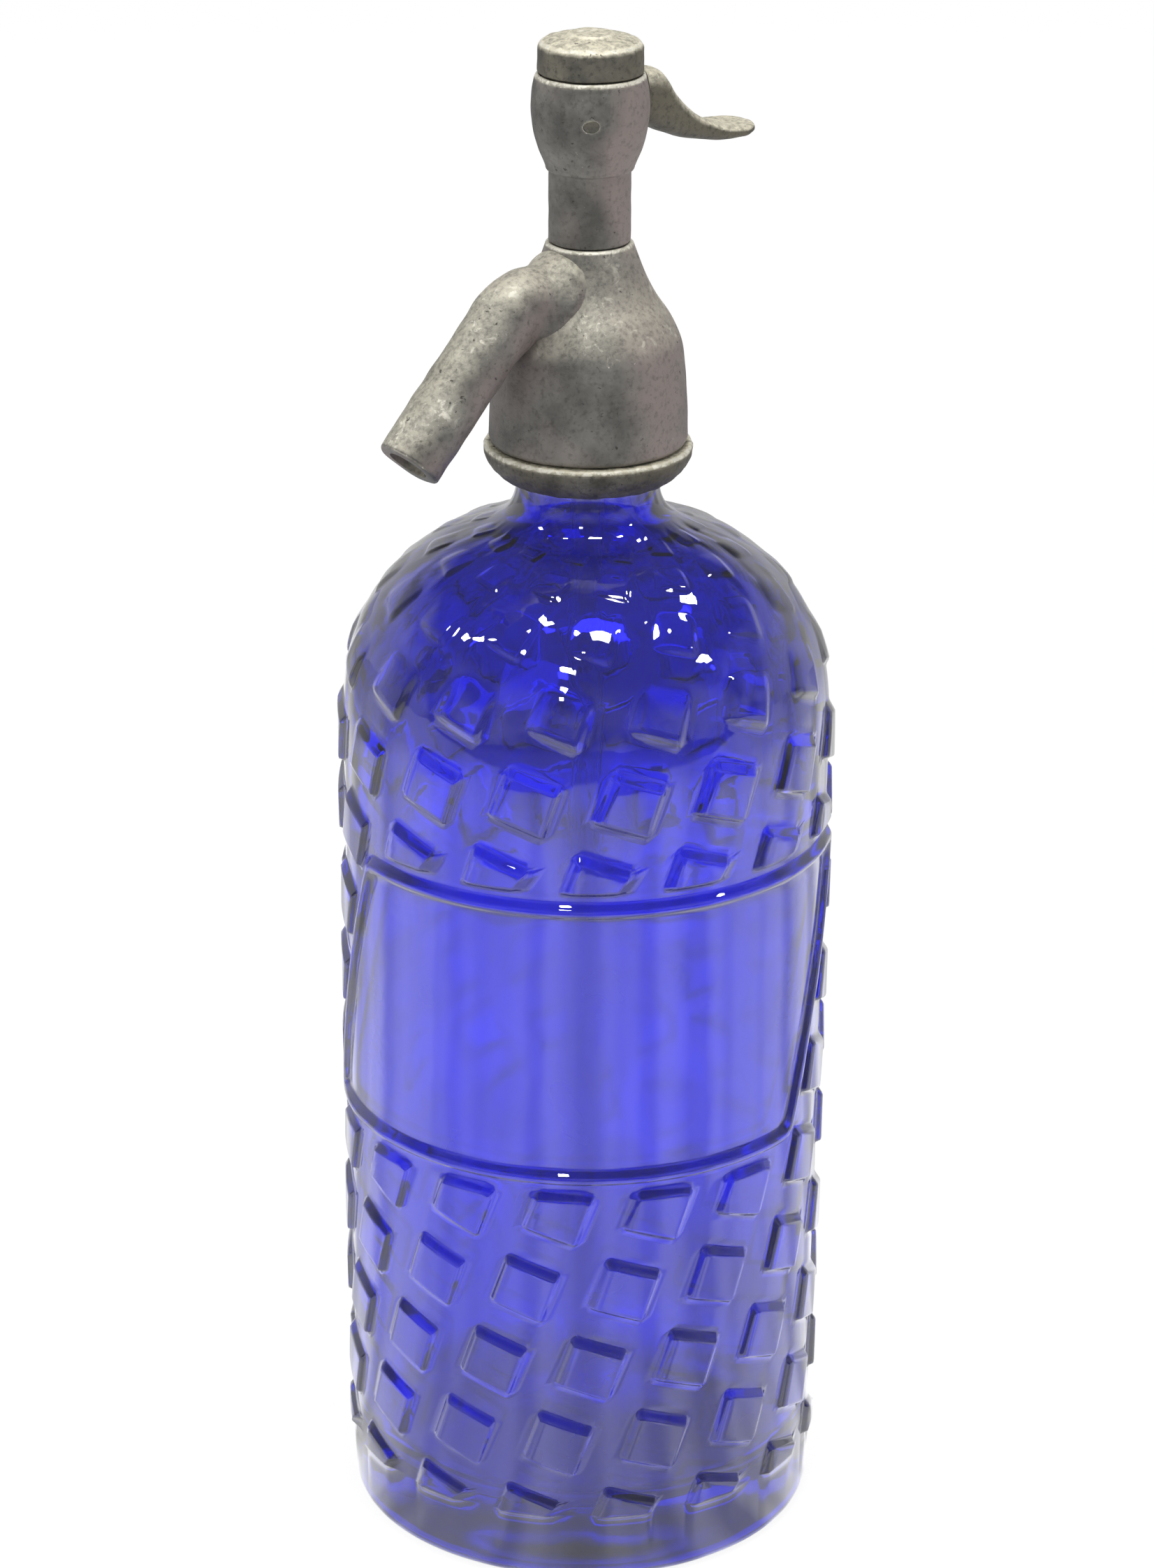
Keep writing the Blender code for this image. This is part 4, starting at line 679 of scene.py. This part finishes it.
def cast_tin(name, dark, mid, cream, coverage, pitting, right_light_tint, level=0.12):
    """Aged cast tin alloy: mottled grey, cream where it faces up or is rubbed, pitted and nicked.

    coverage is how much of the upward and rubbed places the cream takes, level how far a face must
    turn up to have it, and pitting how deep the casting pits look. Faces turned to the picture's
    right get a painted warm light: a warm tint, mixed with broad mottling. Mottling is about
    10 mm across, grain 1.5 mm, scuffs 2 mm long and pits under 1 mm. Each layer has a colour and
    rows of a pattern, the two values it runs between and the shares they give, which are multiplied.
    """
    material, tree, output = empty_material(name)
    position = add_node(tree, "TexCoord")
    noises = ((110.0, 4.0, 0.62, 0.0), (42.0, 2.0, 0.5, 0.0), (900.0, 4.0, 0.7, 0.0), (760.0, 3.0, 0.6, 0.0),
              (420.0, 3.0, 0.6, 1.2))
    patches, broad, grain, chips, scratches = [
        add_node(tree, "TexNoise", {"Vector": position.outputs["Object"], "Scale": scale, "Detail": detail,
                                    "Roughness": roughness, "Distortion": distortion})
        for scale, detail, roughness, distortion in noises]
    normal = position.outputs["Normal"]
    # Painted light: faces turned to the picture's right get a warm tint, as if lit from that side.
    turned_right = add_node(tree, "VectorMath", (normal, RIGHT_WAY), operation="DOT_PRODUCT").outputs["Value"]
    tarnish_and_right_light = add_node(tree, "MapRange", (turned_right, 0.2, 0.9, 0.0, 0.3))
    right_light_and_mottle = add_node(tree, "Math", (tarnish_and_right_light, broad), operation="ADD")
    # Cream goes on faces that turn up as well as on worn places.
    upright = add_node(tree, "SeparateXYZ", (normal,)).outputs["Z"]
    facing_up = add_node(tree, "MapRange", (upright, level, level + 0.55))
    wear = add_node(tree, "Attribute", attribute_name="wear").outputs["Fac"]
    upward_and_worn = add_node(tree, "Math", (facing_up, wear), operation="MAXIMUM")
    worn_grain = add_node(tree, "Math", (wear, 0.3, grain), operation="MULTIPLY_ADD")
    layers = (
        (mid, (patches, 0.36, 0.66, 0, 1)),
        (right_light_tint, (right_light_and_mottle, 0.48, 0.72, 0, 0.9)),
        ("#3a3935", (grain, 0.5, 0.32, 0, 0.8 * pitting)),
        (cream, (upward_and_worn, 0, 1, 0, coverage), (worn_grain, 0.36, 0.6, 0.4, 1)),
        ("#e9e5d6", (upward_and_worn, 0, 1, 0, 0.85), (scratches, 0.56, 0.64, 0, 1), (patches, 0.5, 0.58, 0, 1)),
        ("#ece9dc", (wear, 0.25, 0.7, 0, 0.85), (scratches, 0.46, 0.56, 0, 1)),
        ("#d6d3c6", (worn_grain, 0.7, 0.8, 0, 1)),
        ("#d6d3c6", (chips, 0.7, 0.76, 0, 1), (patches, 0.54, 0.62, 0, 1)),
        ("#33322f", (chips, 0.34, 0.28, 0, HOLE_DEPTH), (broad, 0.54, 0.46, 0, 1)))
    base = linear(dark)
    for colour, *rows in layers:
        amount = 1.0
        for row in rows:
            amount = add_node(tree, "Math", (amount, add_node(tree, "MapRange", row)), operation="MULTIPLY")
        base = add_node(tree, "Mix", {0: amount, 6: base, 7: linear(colour)}, data_type="RGBA").outputs[2]
    sunk = add_node(tree, "Math", (amount, -1 / HOLE_DEPTH, grain), operation="MULTIPLY_ADD")
    height = add_node(tree, "Math", (patches, 1.5, sunk), operation="MULTIPLY_ADD")
    bump = add_node(tree, "Bump", {"Strength": pitting, "Distance": 0.0003, "Height": height})
    roughness = add_node(tree, "MapRange", (grain, 0.0, 1.0, 0.45, 0.68))
    metal = add_node(tree, "BsdfPrincipled", {
        "Base Color": base, "Metallic": 0.5, "Roughness": roughness, "Normal": bump})
    tree.links.new(metal.outputs[0], output.inputs["Surface"])
    return material


def place_metal(piece, material, body, node, edges):
    """Finishes a metal piece that stands for a node.

    edges gives, for its points, the distance in metres to the nearest rubbed edge; wear fades
    from 1 at the edge to 0 at WEAR_REACH.
    """
    mesh = piece.data
    points = np.empty(len(mesh.vertices) * 3)
    mesh.vertices.foreach_get("co", points)
    wear = smooth_step(1 - edges(*points.reshape(-1, 3).T) / WEAR_REACH)
    mesh.attributes.new("wear", "FLOAT", "POINT").data.foreach_set("value", wear)
    mesh.materials.clear()
    mesh.materials.append(material)
    mesh.shade_smooth()
    mesh.set_sharp_from_angle(angle=math.radians(50))
    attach(piece, body)
    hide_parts(node)


pitted_tin = cast_tin("pitted_cast_tin", "#38372f", "#75726a", "#dad4bc", 0.85, 1.0, "#625d52")
collar_r, collar_z = rounded(COLLAR_OUTLINE, COLLAR_CUTS, 0.00045)
joint = HALVES_GAP / 2 / COLLAR_RADIUS


def collar_edge(x, y, z):
    """Distance to the collar's upper outer edge."""
    return np.hypot(np.hypot(x, y) - COLLAR_RUBBED[0], z - COLLAR_RUBBED[1])


for node, start in (("collar_half_front", math.pi), ("collar_half_rear", 0)):
    turn = np.linspace(start + joint, start + math.pi - joint, 120) + SPLIT_TURN
    half = skin("cast_" + node, uneven(swept(turn, collar_r, collar_z), 0.00006, 1.6))
    place_metal(half, pitted_tin, "siphon", node, collar_edge)


# Head. One casting: a threaded skirt under a bell, the valve chamber, and the spout that bends
# down from its side. The spout's root swells into the bell in a cast fillet.
SKIRT_FOOT = 0.2295
BELL_HEIGHT = 0.0402
BELL_TOP = 0.2697
CHAMBER_RADIUS = 0.0073
BELL_RADIUS = 0.0196
BELL_TOP_RADIUS = 0.0085
# Shares of the bell's height and of how far it swells out beyond its top, down its curve.
BELL_SHARES = (
    (0.975, 0.03), (0.90, 0.125), (0.80, 0.28), (0.73, 0.42), (0.66, 0.61),
    (0.59, 0.75), (0.53, 0.85), (0.46, 0.905), (0.36, 0.945), (0.24, 0.975), (0.03, 1.0))
HEAD_CORE = (
    (0.0191, 0.2295), (0.0180, 0.2295), (0.0180, 0.2362), (0.0070, 0.2362), (0.0070, 0.2503),
    (0.0044, 0.2503), (0.0044, 0.2657), (0.0073, 0.2657))
SPOUT_RADIUS = 0.0065
SPOUT_BORE = 0.0041
SPOUT_RINGS = 110
TIP_ROUNDING = 0.0007
SPOUT_LEVEL = 0.2605
SPOUT_STRAIGHT = 0.0150
SPOUT_BEND = 0.0090
SPOUT_SLOPE = math.radians(46.5)
SPOUT_REACH = 0.0449
# Middle and reach of each scuffed place on the spout.
SPOUT_SCUFFS = ((-0.0222, -0.0035, 0.2645, 0.0065), (-0.0400, -0.0045, 0.2440, 0.0085))
FILLET = 0.0020
FILLET_REACH = 0.0050


def combine(piece, other, operation):
    """Joins another closed piece to this one, or cuts it away, and uses it up."""
    cut = piece.modifiers.new("cut", "BOOLEAN")
    cut.operation = operation
    cut.solver = "EXACT"
    cut.object = other
    graph = bpy.context.evaluated_depsgraph_get()
    piece.data = bpy.data.meshes.new_from_object(piece.evaluated_get(graph))
    piece.modifiers.clear()
    bpy.data.objects.remove(other, do_unlink=True)


def spout_line(travel):
    """The middle of the spout and its direction, at distances from the axis: level, then a bend
    of constant radius, then straight down the slope."""
    bend_length = SPOUT_BEND * SPOUT_SLOPE
    turn = np.clip(travel - SPOUT_STRAIGHT, 0, bend_length) / SPOUT_BEND
    rest = np.maximum(travel - SPOUT_STRAIGHT - bend_length, 0)
    x = -(np.minimum(travel, SPOUT_STRAIGHT) + SPOUT_BEND * np.sin(turn) + rest * math.cos(SPOUT_SLOPE))
    z = SPOUT_LEVEL - SPOUT_BEND * (1 - np.cos(turn)) - rest * math.sin(SPOUT_SLOPE)
    return x, z, -np.cos(turn), -np.sin(turn)


def tube(travel, radius, round_count):
    """Rings of points round the spout's middle line, at each distance along it."""
    x, z, along_x, along_z = (part[:, None] for part in spout_line(travel))
    turn = np.linspace(0, 2 * math.pi, round_count, endpoint=False)
    out_x, out_y, out_z = along_z * np.cos(turn), np.sin(turn) + 0 * x, -along_x * np.cos(turn)
    radius = np.broadcast_to(np.asarray(radius, dtype=float).reshape(-1, 1), (len(travel), 1))
    points = np.stack([x + radius * out_x, radius * out_y, z + radius * out_z], axis=-1)
    return points, np.stack([out_x, out_y, out_z], axis=-1)


def smoothed(line, times):
    """Points of a line, each moved a number of times to the mean of its place and its neighbours'."""
    for _ in range(times):
        line[..., 1:-1] = (line[..., :-2] + 2 * line[..., 1:-1] + line[..., 2:]) / 4
    return line


share_z, share_r = np.array(BELL_SHARES).T
bell_r = BELL_TOP_RADIUS + (BELL_RADIUS - BELL_TOP_RADIUS) * share_r
bell_z = SKIRT_FOOT + BELL_HEIGHT * share_z
curve_z = np.linspace(bell_z[0], bell_z[-1], 60)
smooth_r = smoothed(np.interp(curve_z, bell_z[::-1], bell_r[::-1]), 3)
outline = [(CHAMBER_RADIUS, BELL_TOP), (BELL_TOP_RADIUS, BELL_TOP), *zip(smooth_r, curve_z), *HEAD_CORE]
head_cuts = [0.0002, 0.00035] + [0.0002] * len(curve_z) + [0.0003] * len(HEAD_CORE)
head_r, head_z = rounded(outline, head_cuts, 0.0005)
turn = np.linspace(0, 2 * math.pi, 200, endpoint=False)
head = skin("cast_head_and_spout", uneven(swept(turn, head_r, head_z), 0.00005, 0.55), looped=True)
bend_length = SPOUT_BEND * SPOUT_SLOPE
slope_length = (SPOUT_REACH - SPOUT_STRAIGHT - SPOUT_BEND * math.sin(SPOUT_SLOPE)) / math.cos(SPOUT_SLOPE)
mouth = SPOUT_STRAIGHT + bend_length + slope_length
tip = np.radians(np.linspace(0, 90, 6)[1:])
travel = np.concatenate([np.linspace(0.0070, mouth - TIP_ROUNDING, SPOUT_RINGS),
                         mouth - TIP_ROUNDING * (1 - np.sin(tip))])
radius = np.concatenate([np.full(SPOUT_RINGS, SPOUT_RADIUS), SPOUT_RADIUS - TIP_ROUNDING * (1 - np.cos(tip))])
spout, outwards = tube(travel, radius, 96)
beyond = np.hypot(spout[..., 0], spout[..., 1]) - np.interp(spout[..., 2], curve_z[::-1], smooth_r[::-1])
spout += outwards * (FILLET * np.clip(1 - beyond / FILLET_REACH, 0, 1) ** 2)[..., None]
combine(head, skin("spout", uneven(spout, 0.00008, 0.7)), "UNION")
bore, _ = tube(np.linspace(0.0020, mouth + 0.002, 40), SPOUT_BORE, 48)
combine(head, skin("spout_bore", bore), "DIFFERENCE")
mouth_x, mouth_z, mouth_dx, mouth_dz = spout_line(np.array([mouth]))


def head_edge(x, y, z):
    """Distance to the bell's top edge, to its foot, or to the rim of the spout's mouth.

    It is small in the scuffed places of the spout too, out to each one's reach.
    """
    around = np.hypot(x, y)
    top = np.hypot(around - BELL_TOP_RADIUS, z - BELL_TOP)
    foot = np.hypot(around - BELL_RADIUS + 0.0001, z - SKIRT_FOOT) + 0.0004
    depth = (x - mouth_x) * mouth_dx + (z - mouth_z) * mouth_dz
    out = np.sqrt(np.maximum((x - mouth_x) ** 2 + y ** 2 + (z - mouth_z) ** 2 - depth ** 2, 0))
    rim = np.hypot(depth, out - SPOUT_RADIUS) + 0.0003
    scuffed = [0.0003 + WEAR_REACH * np.sqrt((x - a) ** 2 + (y - b) ** 2 + (z - c) ** 2) / reach
               for a, b, c, reach in SPOUT_SCUFFS]
    return np.minimum.reduce([top, foot, rim, *scuffed])


dull_tin = cast_tin("dull_cast_tin", "#585754", "#7f7d78", "#d6d1be", 0.7, 0.55, "#8f8480", 0.2)
place_metal(head, dull_tin, "siphon", "head_body", head_edge)


# Valve column. A short turned column screwed into the bell, and above it a round cup that holds
# the lever and takes the cap. The cup's rim is rubbed bright.
COLUMN_RADIUS = 0.0080
COLUMN_TOP = 0.2842
CUP_RADIUS = 0.0115
CUP_HEIGHT = 0.0187
CUP_RIM = 0.3029
# Shares of the cup's height and of how far it swells out beyond the column, down its curve.
CUP_CURVE = (
    (0.96, 0.80), (0.88, 0.88), (0.79, 0.96), (0.68, 1.0), (0.57, 0.975),
    (0.45, 0.90), (0.33, 0.77), (0.22, 0.60), (0.11, 0.35))
CUP_RUBBED = (0.0107, 0.3027)
SLOT_LOW = (0.0062, 0.2874)
SLOT_HIGH = (0.0135, 0.2984)
COLUMN_BELOW = (
    (0.0087, 0.2849), (0.0086, 0.2843), (0.0080, 0.28415), (0.0080, 0.2700), (0.0070, 0.2700),
    (0.0070, 0.2660), (0.0018, 0.2660), (0.0018, 0.2676), (0.0046, 0.2676), (0.0046, 0.2716),
    (0.0062, 0.2716), (0.0062, 0.2853), (0.0098, 0.2915))
PIVOT_X = -0.0071
PIVOT_Z = 0.2950
PIN_HOLE = 0.00122
SLOT_HALF = 0.0026


def rod(name, radius, half_length):
    """A round bar along Y through the lever's pivot."""
    turn = np.linspace(0, 2 * math.pi, 48, endpoint=False)
    y = np.linspace(-half_length, half_length, 5)[:, None]
    return skin(name, np.stack([PIVOT_X + radius * np.sin(turn) + 0 * y, y + 0 * turn,
                                PIVOT_Z + radius * np.cos(turn) + 0 * y], axis=-1))


def block(name, low, high):
    """A plain block between two corners."""
    x, y = np.array([low[0], high[0], high[0], low[0]]), np.array([low[1], low[1], high[1], high[1]])
    return skin(name, np.stack([np.stack([x, y, np.full(4, level)], axis=-1) for level in (low[2], high[2])]))


cup_share_z, cup_share_r = np.array(CUP_CURVE).T
cup_z = np.linspace(cup_share_z[0], cup_share_z[-1], 40)
cup_r = smoothed(np.interp(cup_z, cup_share_z[::-1], cup_share_r[::-1]), 3)
cup_z, cup_r = COLUMN_TOP + CUP_HEIGHT * cup_z, COLUMN_RADIUS + (CUP_RADIUS - COLUMN_RADIUS) * cup_r
outline = [(0.0098, CUP_RIM), (0.0105, CUP_RIM), *zip(cup_r, cup_z), *COLUMN_BELOW]
column_cuts = [0.0002, 0.0003] + [0.0001] * (len(cup_z) + 3) + [0.0002] * (len(COLUMN_BELOW) - 3)
column_r, column_z = rounded(outline, column_cuts, 0.00035)
turn = np.linspace(0, 2 * math.pi, 160, endpoint=False)
column = skin("cast_column_and_cup", uneven(swept(turn, column_r, column_z), 0.00004, 0.8), looped=True)
slot = block("slot", (SLOT_LOW[0], -SLOT_HALF, SLOT_LOW[1]), (SLOT_HIGH[0], SLOT_HALF, SLOT_HIGH[1]))
combine(column, slot, "DIFFERENCE")
combine(column, rod("hole", PIN_HOLE, 0.0135), "DIFFERENCE")


def column_edge(x, y, z):
    """Distance to the cup's rim or, on its outside, to the edge of the pin's hole."""
    around = np.hypot(x, y)
    rim = np.hypot(around - CUP_RUBBED[0], z - CUP_RUBBED[1])
    hole = np.abs(np.hypot(x - PIVOT_X, z - PIVOT_Z) - PIN_HOLE) + 0.0005
    return np.where(around < 0.0105, rim, np.minimum(rim, hole))


place_metal(column, dull_tin, "siphon", "valve_column", column_edge)


# Cap. A screw cap that closes the cup: a flange on the rim and a low crown with a plain raised
# disc, its edges knocked round and rubbed to cream, and its upward top cream too.
CAP_OUTLINE = (
    (0.0, 0.3072), (0.0075, 0.3072), (0.0075, 0.2989), (0.0095, 0.2989), (0.0095, 0.3032), (0.0103, 0.3032),
    (0.01022, 0.3085), (0.0094, 0.3093), (0.0074, 0.3098), (0.0047, 0.3103), (0.0042, 0.3108), (0.0, 0.3109))
KNOCK = 0.00012
KNOCKED_LOWER = 0.0001
CAP_RUBBED = (0.0098, 0.3091)
DISC_RUBBED = (0.0044, 0.3107)
CAP_CUTS = (0, 0.0003, 0.0003, 0.0003, 0.0002, 0.0003, 0.0006, 0.0006, 0.0008, 0.0002, 0.0003, 0)
cap_r, cap_z = rounded(CAP_OUTLINE, CAP_CUTS, 0.00035, closed=False)
turn = np.linspace(0, 2 * math.pi, 160, endpoint=False)
cap_r, cap_z = cap_r[1:-1], cap_z[1:-1]
cap_rings = turned_rings(turn, cap_r, cap_z)
knocks = KNOCK * (np.sin(5 * turn + 1) * np.sin(9 * turn) + 0.6 * np.sin(17 * turn + 2)) - KNOCKED_LOWER
near_top = smooth_step((cap_z - 0.3070) / 0.0015) * (cap_r > 0.0080)
cap_rings[..., 2] += near_top[:, None] * knocks
cap = skin("cast_cap", uneven(cap_rings, 0.00004, 1.2))


def cap_edge(x, y, z):
    """Distance to the cap's upper edge or to the edge of its raised disc."""
    around = np.hypot(x, y)
    upper = np.hypot(around - CAP_RUBBED[0], z - CAP_RUBBED[1])
    return np.minimum(upper, np.hypot(around - DISC_RUBBED[0], z - DISC_RUBBED[1]) + 0.0003)


worn_tin = cast_tin("worn_cast_tin", "#504f49", "#7c786c", "#e2dcc6", 0.95, 0.85, "#6c675a")
place_metal(cap, worn_tin, "siphon", "cap", cap_edge)


# Lever and pin. The thumb lever is cast in the same alloy: deep where it meets the cup, then a
# falling neck and a flat thumb piece. A tongue inside the cup turns on a pin.
LEVER_START = 0.0098
LEVER_REACH = 0.0402
LEVER_HALF_WIDTH = 0.0063
LEVER_TOP = 0.0072
LEVER_DROP = 0.0090
LEVER_CUP = 0.0119
LEVER_RINGS = 130
LEVER_SQUARENESS = 2 / 3
DISH_DEPTH = 0.0003
TONGUE_HALF = 0.0022
TONGUE_X = (-0.0040, 0.0139, 0.0139, -0.0040)
TONGUE_Z = (-0.0024, -0.0024, 0.0026, 0.0026)
EYE_RADIUS = 0.0021
# Along the lever: share of its reach, its top and bottom from the pivot's height as shares of its
# rise and drop, and share of its half width.
LEVER_STATIONS = (
    (0.00, 0.97, -0.24, 0.72), (0.10, 0.99, -0.44, 0.76), (0.185, 0.96, -0.59, 0.77),
    (0.225, 0.78, -0.66, 0.77), (0.27, 0.43, -0.72, 0.77), (0.32, 0.17, -0.78, 0.77),
    (0.38, -0.08, -0.86, 0.77), (0.455, -0.29, -0.925, 0.78), (0.54, -0.47, -0.985, 0.81),
    (0.635, -0.62, -1.035, 0.87), (0.735, -0.715, -1.055, 0.95), (0.84, -0.75, -1.035, 1.0),
    (0.925, -0.75, -0.99, 0.82), (0.975, -0.78, -0.94, 0.52), (1.0, -0.82, -0.89, 0.22))

reach, top, bottom, width = np.array(LEVER_STATIONS).T
fine = np.linspace(0, 1, LEVER_RINGS)
sizes = (top * np.where(top > 0, LEVER_TOP, LEVER_DROP), bottom * LEVER_DROP, width * LEVER_HALF_WIDTH)
parts = smoothed(np.stack([np.interp(fine, reach, part) for part in sizes]), 6)
top, bottom, width = parts[..., None]
turn = np.linspace(0, 2 * math.pi, 56, endpoint=False)
across = np.sign(np.cos(turn)) * np.abs(np.cos(turn)) ** LEVER_SQUARENESS
upward = np.sign(np.sin(turn)) * np.abs(np.sin(turn)) ** LEVER_SQUARENESS
lever_y = across * width
lever_x = LEVER_START + (LEVER_REACH - LEVER_START) * fine[:, None] + 0 * lever_y
lever_z = PIVOT_Z + (top + bottom) / 2 + upward * (top - bottom) / 2
dish = smooth_step((fine - 0.55) / 0.2) * smooth_step((1 - fine) / 0.08)
lever_z -= DISH_DEPTH * dish[:, None] * (upward > 0) * np.cos(across * math.pi / 2)
cup_wall = np.sqrt(LEVER_CUP ** 2 - lever_y ** 2)
lever_x = np.maximum(lever_x, cup_wall + 0.00002 * np.arange(LEVER_RINGS)[:, None])
lever_rings = np.stack([lever_x, lever_y, lever_z], axis=-1)
lever = skin("cast_thumb_lever", uneven(lever_rings, 0.00005, 0.9))
eye = np.radians(np.linspace(90, 270, 24))
tongue_x = np.concatenate([PIVOT_X + EYE_RADIUS * np.cos(eye), TONGUE_X])
tongue_z = PIVOT_Z + np.concatenate([EYE_RADIUS * np.sin(eye), TONGUE_Z])
sides = [np.stack([tongue_x, y + 0 * tongue_x, tongue_z], axis=-1) for y in (TONGUE_HALF, -TONGUE_HALF)]
combine(lever, skin("tongue", np.stack(sides)), "UNION")
combine(lever, rod("eye", PIN_HOLE, 0.004), "DIFFERENCE")


def lever_edge(x, y, z):
    """Distance to the edges of the thumb piece and of the deep root, where fingers rub."""
    station = np.linspace(LEVER_START, LEVER_REACH, LEVER_RINGS)
    side = np.abs(np.abs(y) - np.interp(x, station, width[:, 0]))
    crest = np.interp(x, station, top[:, 0]) + PIVOT_Z
    return np.hypot(side, np.abs(z - crest)) + 0.0003


place_metal(lever, worn_tin, "lever", "lever", lever_edge)


# Brass fittings. The tube's holder and the valve's seat, stem, disc and nuts, turned from yellow
# brass and gone brown with water, inside the head. The lever's pin is as grey as the lever.
brass, tree, output = empty_material("turned_tarnished_brass")
position = add_node(tree, "TexCoord").outputs["Object"]
tarnish_and_right_light = add_node(tree, "TexNoise", {"Vector": position, "Scale": 260.0, "Detail": 4.0})
stain = add_node(tree, "MapRange", (tarnish_and_right_light, 0.4, 0.65))
tone = add_node(tree, "Mix", {0: stain, 6: linear("#b08d4a"), 7: linear("#6b5430")}, data_type="RGBA")
rough = add_node(tree, "MapRange", (tarnish_and_right_light, 0, 1, 0.25, 0.55))
tool_marks = add_node(tree, "Bump", {"Strength": 0.2, "Distance": 0.0001, "Height": tarnish_and_right_light})
metal = add_node(tree, "BsdfPrincipled", {
    "Base Color": tone.outputs[2], "Metallic": 1.0, "Roughness": rough, "Normal": tool_marks})
tree.links.new(metal.outputs[0], output.inputs["Surface"])
for name in ("tube_holder", "valve_seat", "packing_nut", "valve_stem", "valve_disc", "spring_seat",
             "stem_nut"):
    nodes[name].material_slots[0].material = brass
nodes["lever_pin"].material_slots[0].material = worn_tin


# Valve spring. Coiled brass wire round the stem, standing on the packing nut. It is built at one
# length, though the real spring shortens as the lever pushes the valve down.
SPRING_FOOT = 0.2756
SPRING_HEIGHT = 0.0103
SPRING_RADIUS = 0.0039
SPRING_WIRE = 0.00045
SPRING_TURNS = 5.5


def coil(turn, around):
    """Points on a coiled wire: a ring round each point of the helix (R cos t, R sin t, p t)."""
    climb = (SPRING_HEIGHT - 2 * SPRING_WIRE) / (2 * math.pi * SPRING_TURNS)
    outward = np.stack([np.cos(turn), np.sin(turn), 0 * turn], axis=-1)
    onward = np.stack([-np.sin(turn), np.cos(turn), 0 * turn], axis=-1)
    forward = SPRING_RADIUS * onward + np.array([0, 0, climb])
    side = np.cross(outward, forward / np.linalg.norm(forward, axis=1, keepdims=True))
    rise = SPRING_FOOT + SPRING_WIRE + climb * turn
    middle = SPRING_RADIUS * outward + rise[:, None] * np.array([0, 0, 1])
    ring = outward[:, None] * np.cos(around)[:, None] + side[:, None] * np.sin(around)[:, None]
    return middle[:, None] + SPRING_WIRE * ring


spring = skin("brass_coil_spring", coil(np.linspace(0, 2 * math.pi * SPRING_TURNS, 265),
                                        np.linspace(0, 2 * math.pi, 12, endpoint=False)))
spring.data.materials.append(brass)
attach(spring, "siphon")
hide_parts("valve_spring")
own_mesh(spring)


# Rubber seals. The lip's gasket, the tube's sleeve, the stem's packing and the valve's washer,
# moulded from black natural rubber, with a dusty bloom.
rubber, tree, output = empty_material("moulded_black_rubber")
position = add_node(tree, "TexCoord").outputs["Object"]
bloom = add_node(tree, "TexNoise", {"Vector": position, "Scale": 300.0, "Detail": 3.0})
dust = add_node(tree, "MapRange", (bloom, 0.5, 0.75, 0, 0.5))
tone = add_node(tree, "Mix", {0: dust, 6: linear("#1d1c1b"), 7: linear("#3b3936")}, data_type="RGBA")
skin_bump = add_node(tree, "Bump", {"Strength": 0.3, "Distance": 0.0001, "Height": bloom})
soft = add_node(tree, "BsdfPrincipled", {
    "Base Color": tone.outputs[2], "Roughness": 0.8, "Normal": skin_bump})
tree.links.new(soft.outputs[0], output.inputs["Surface"])
for name in ("lip_gasket", "tube_sleeve", "stem_packing", "valve_washer"):
    nodes[name].material_slots[0].material = rubber
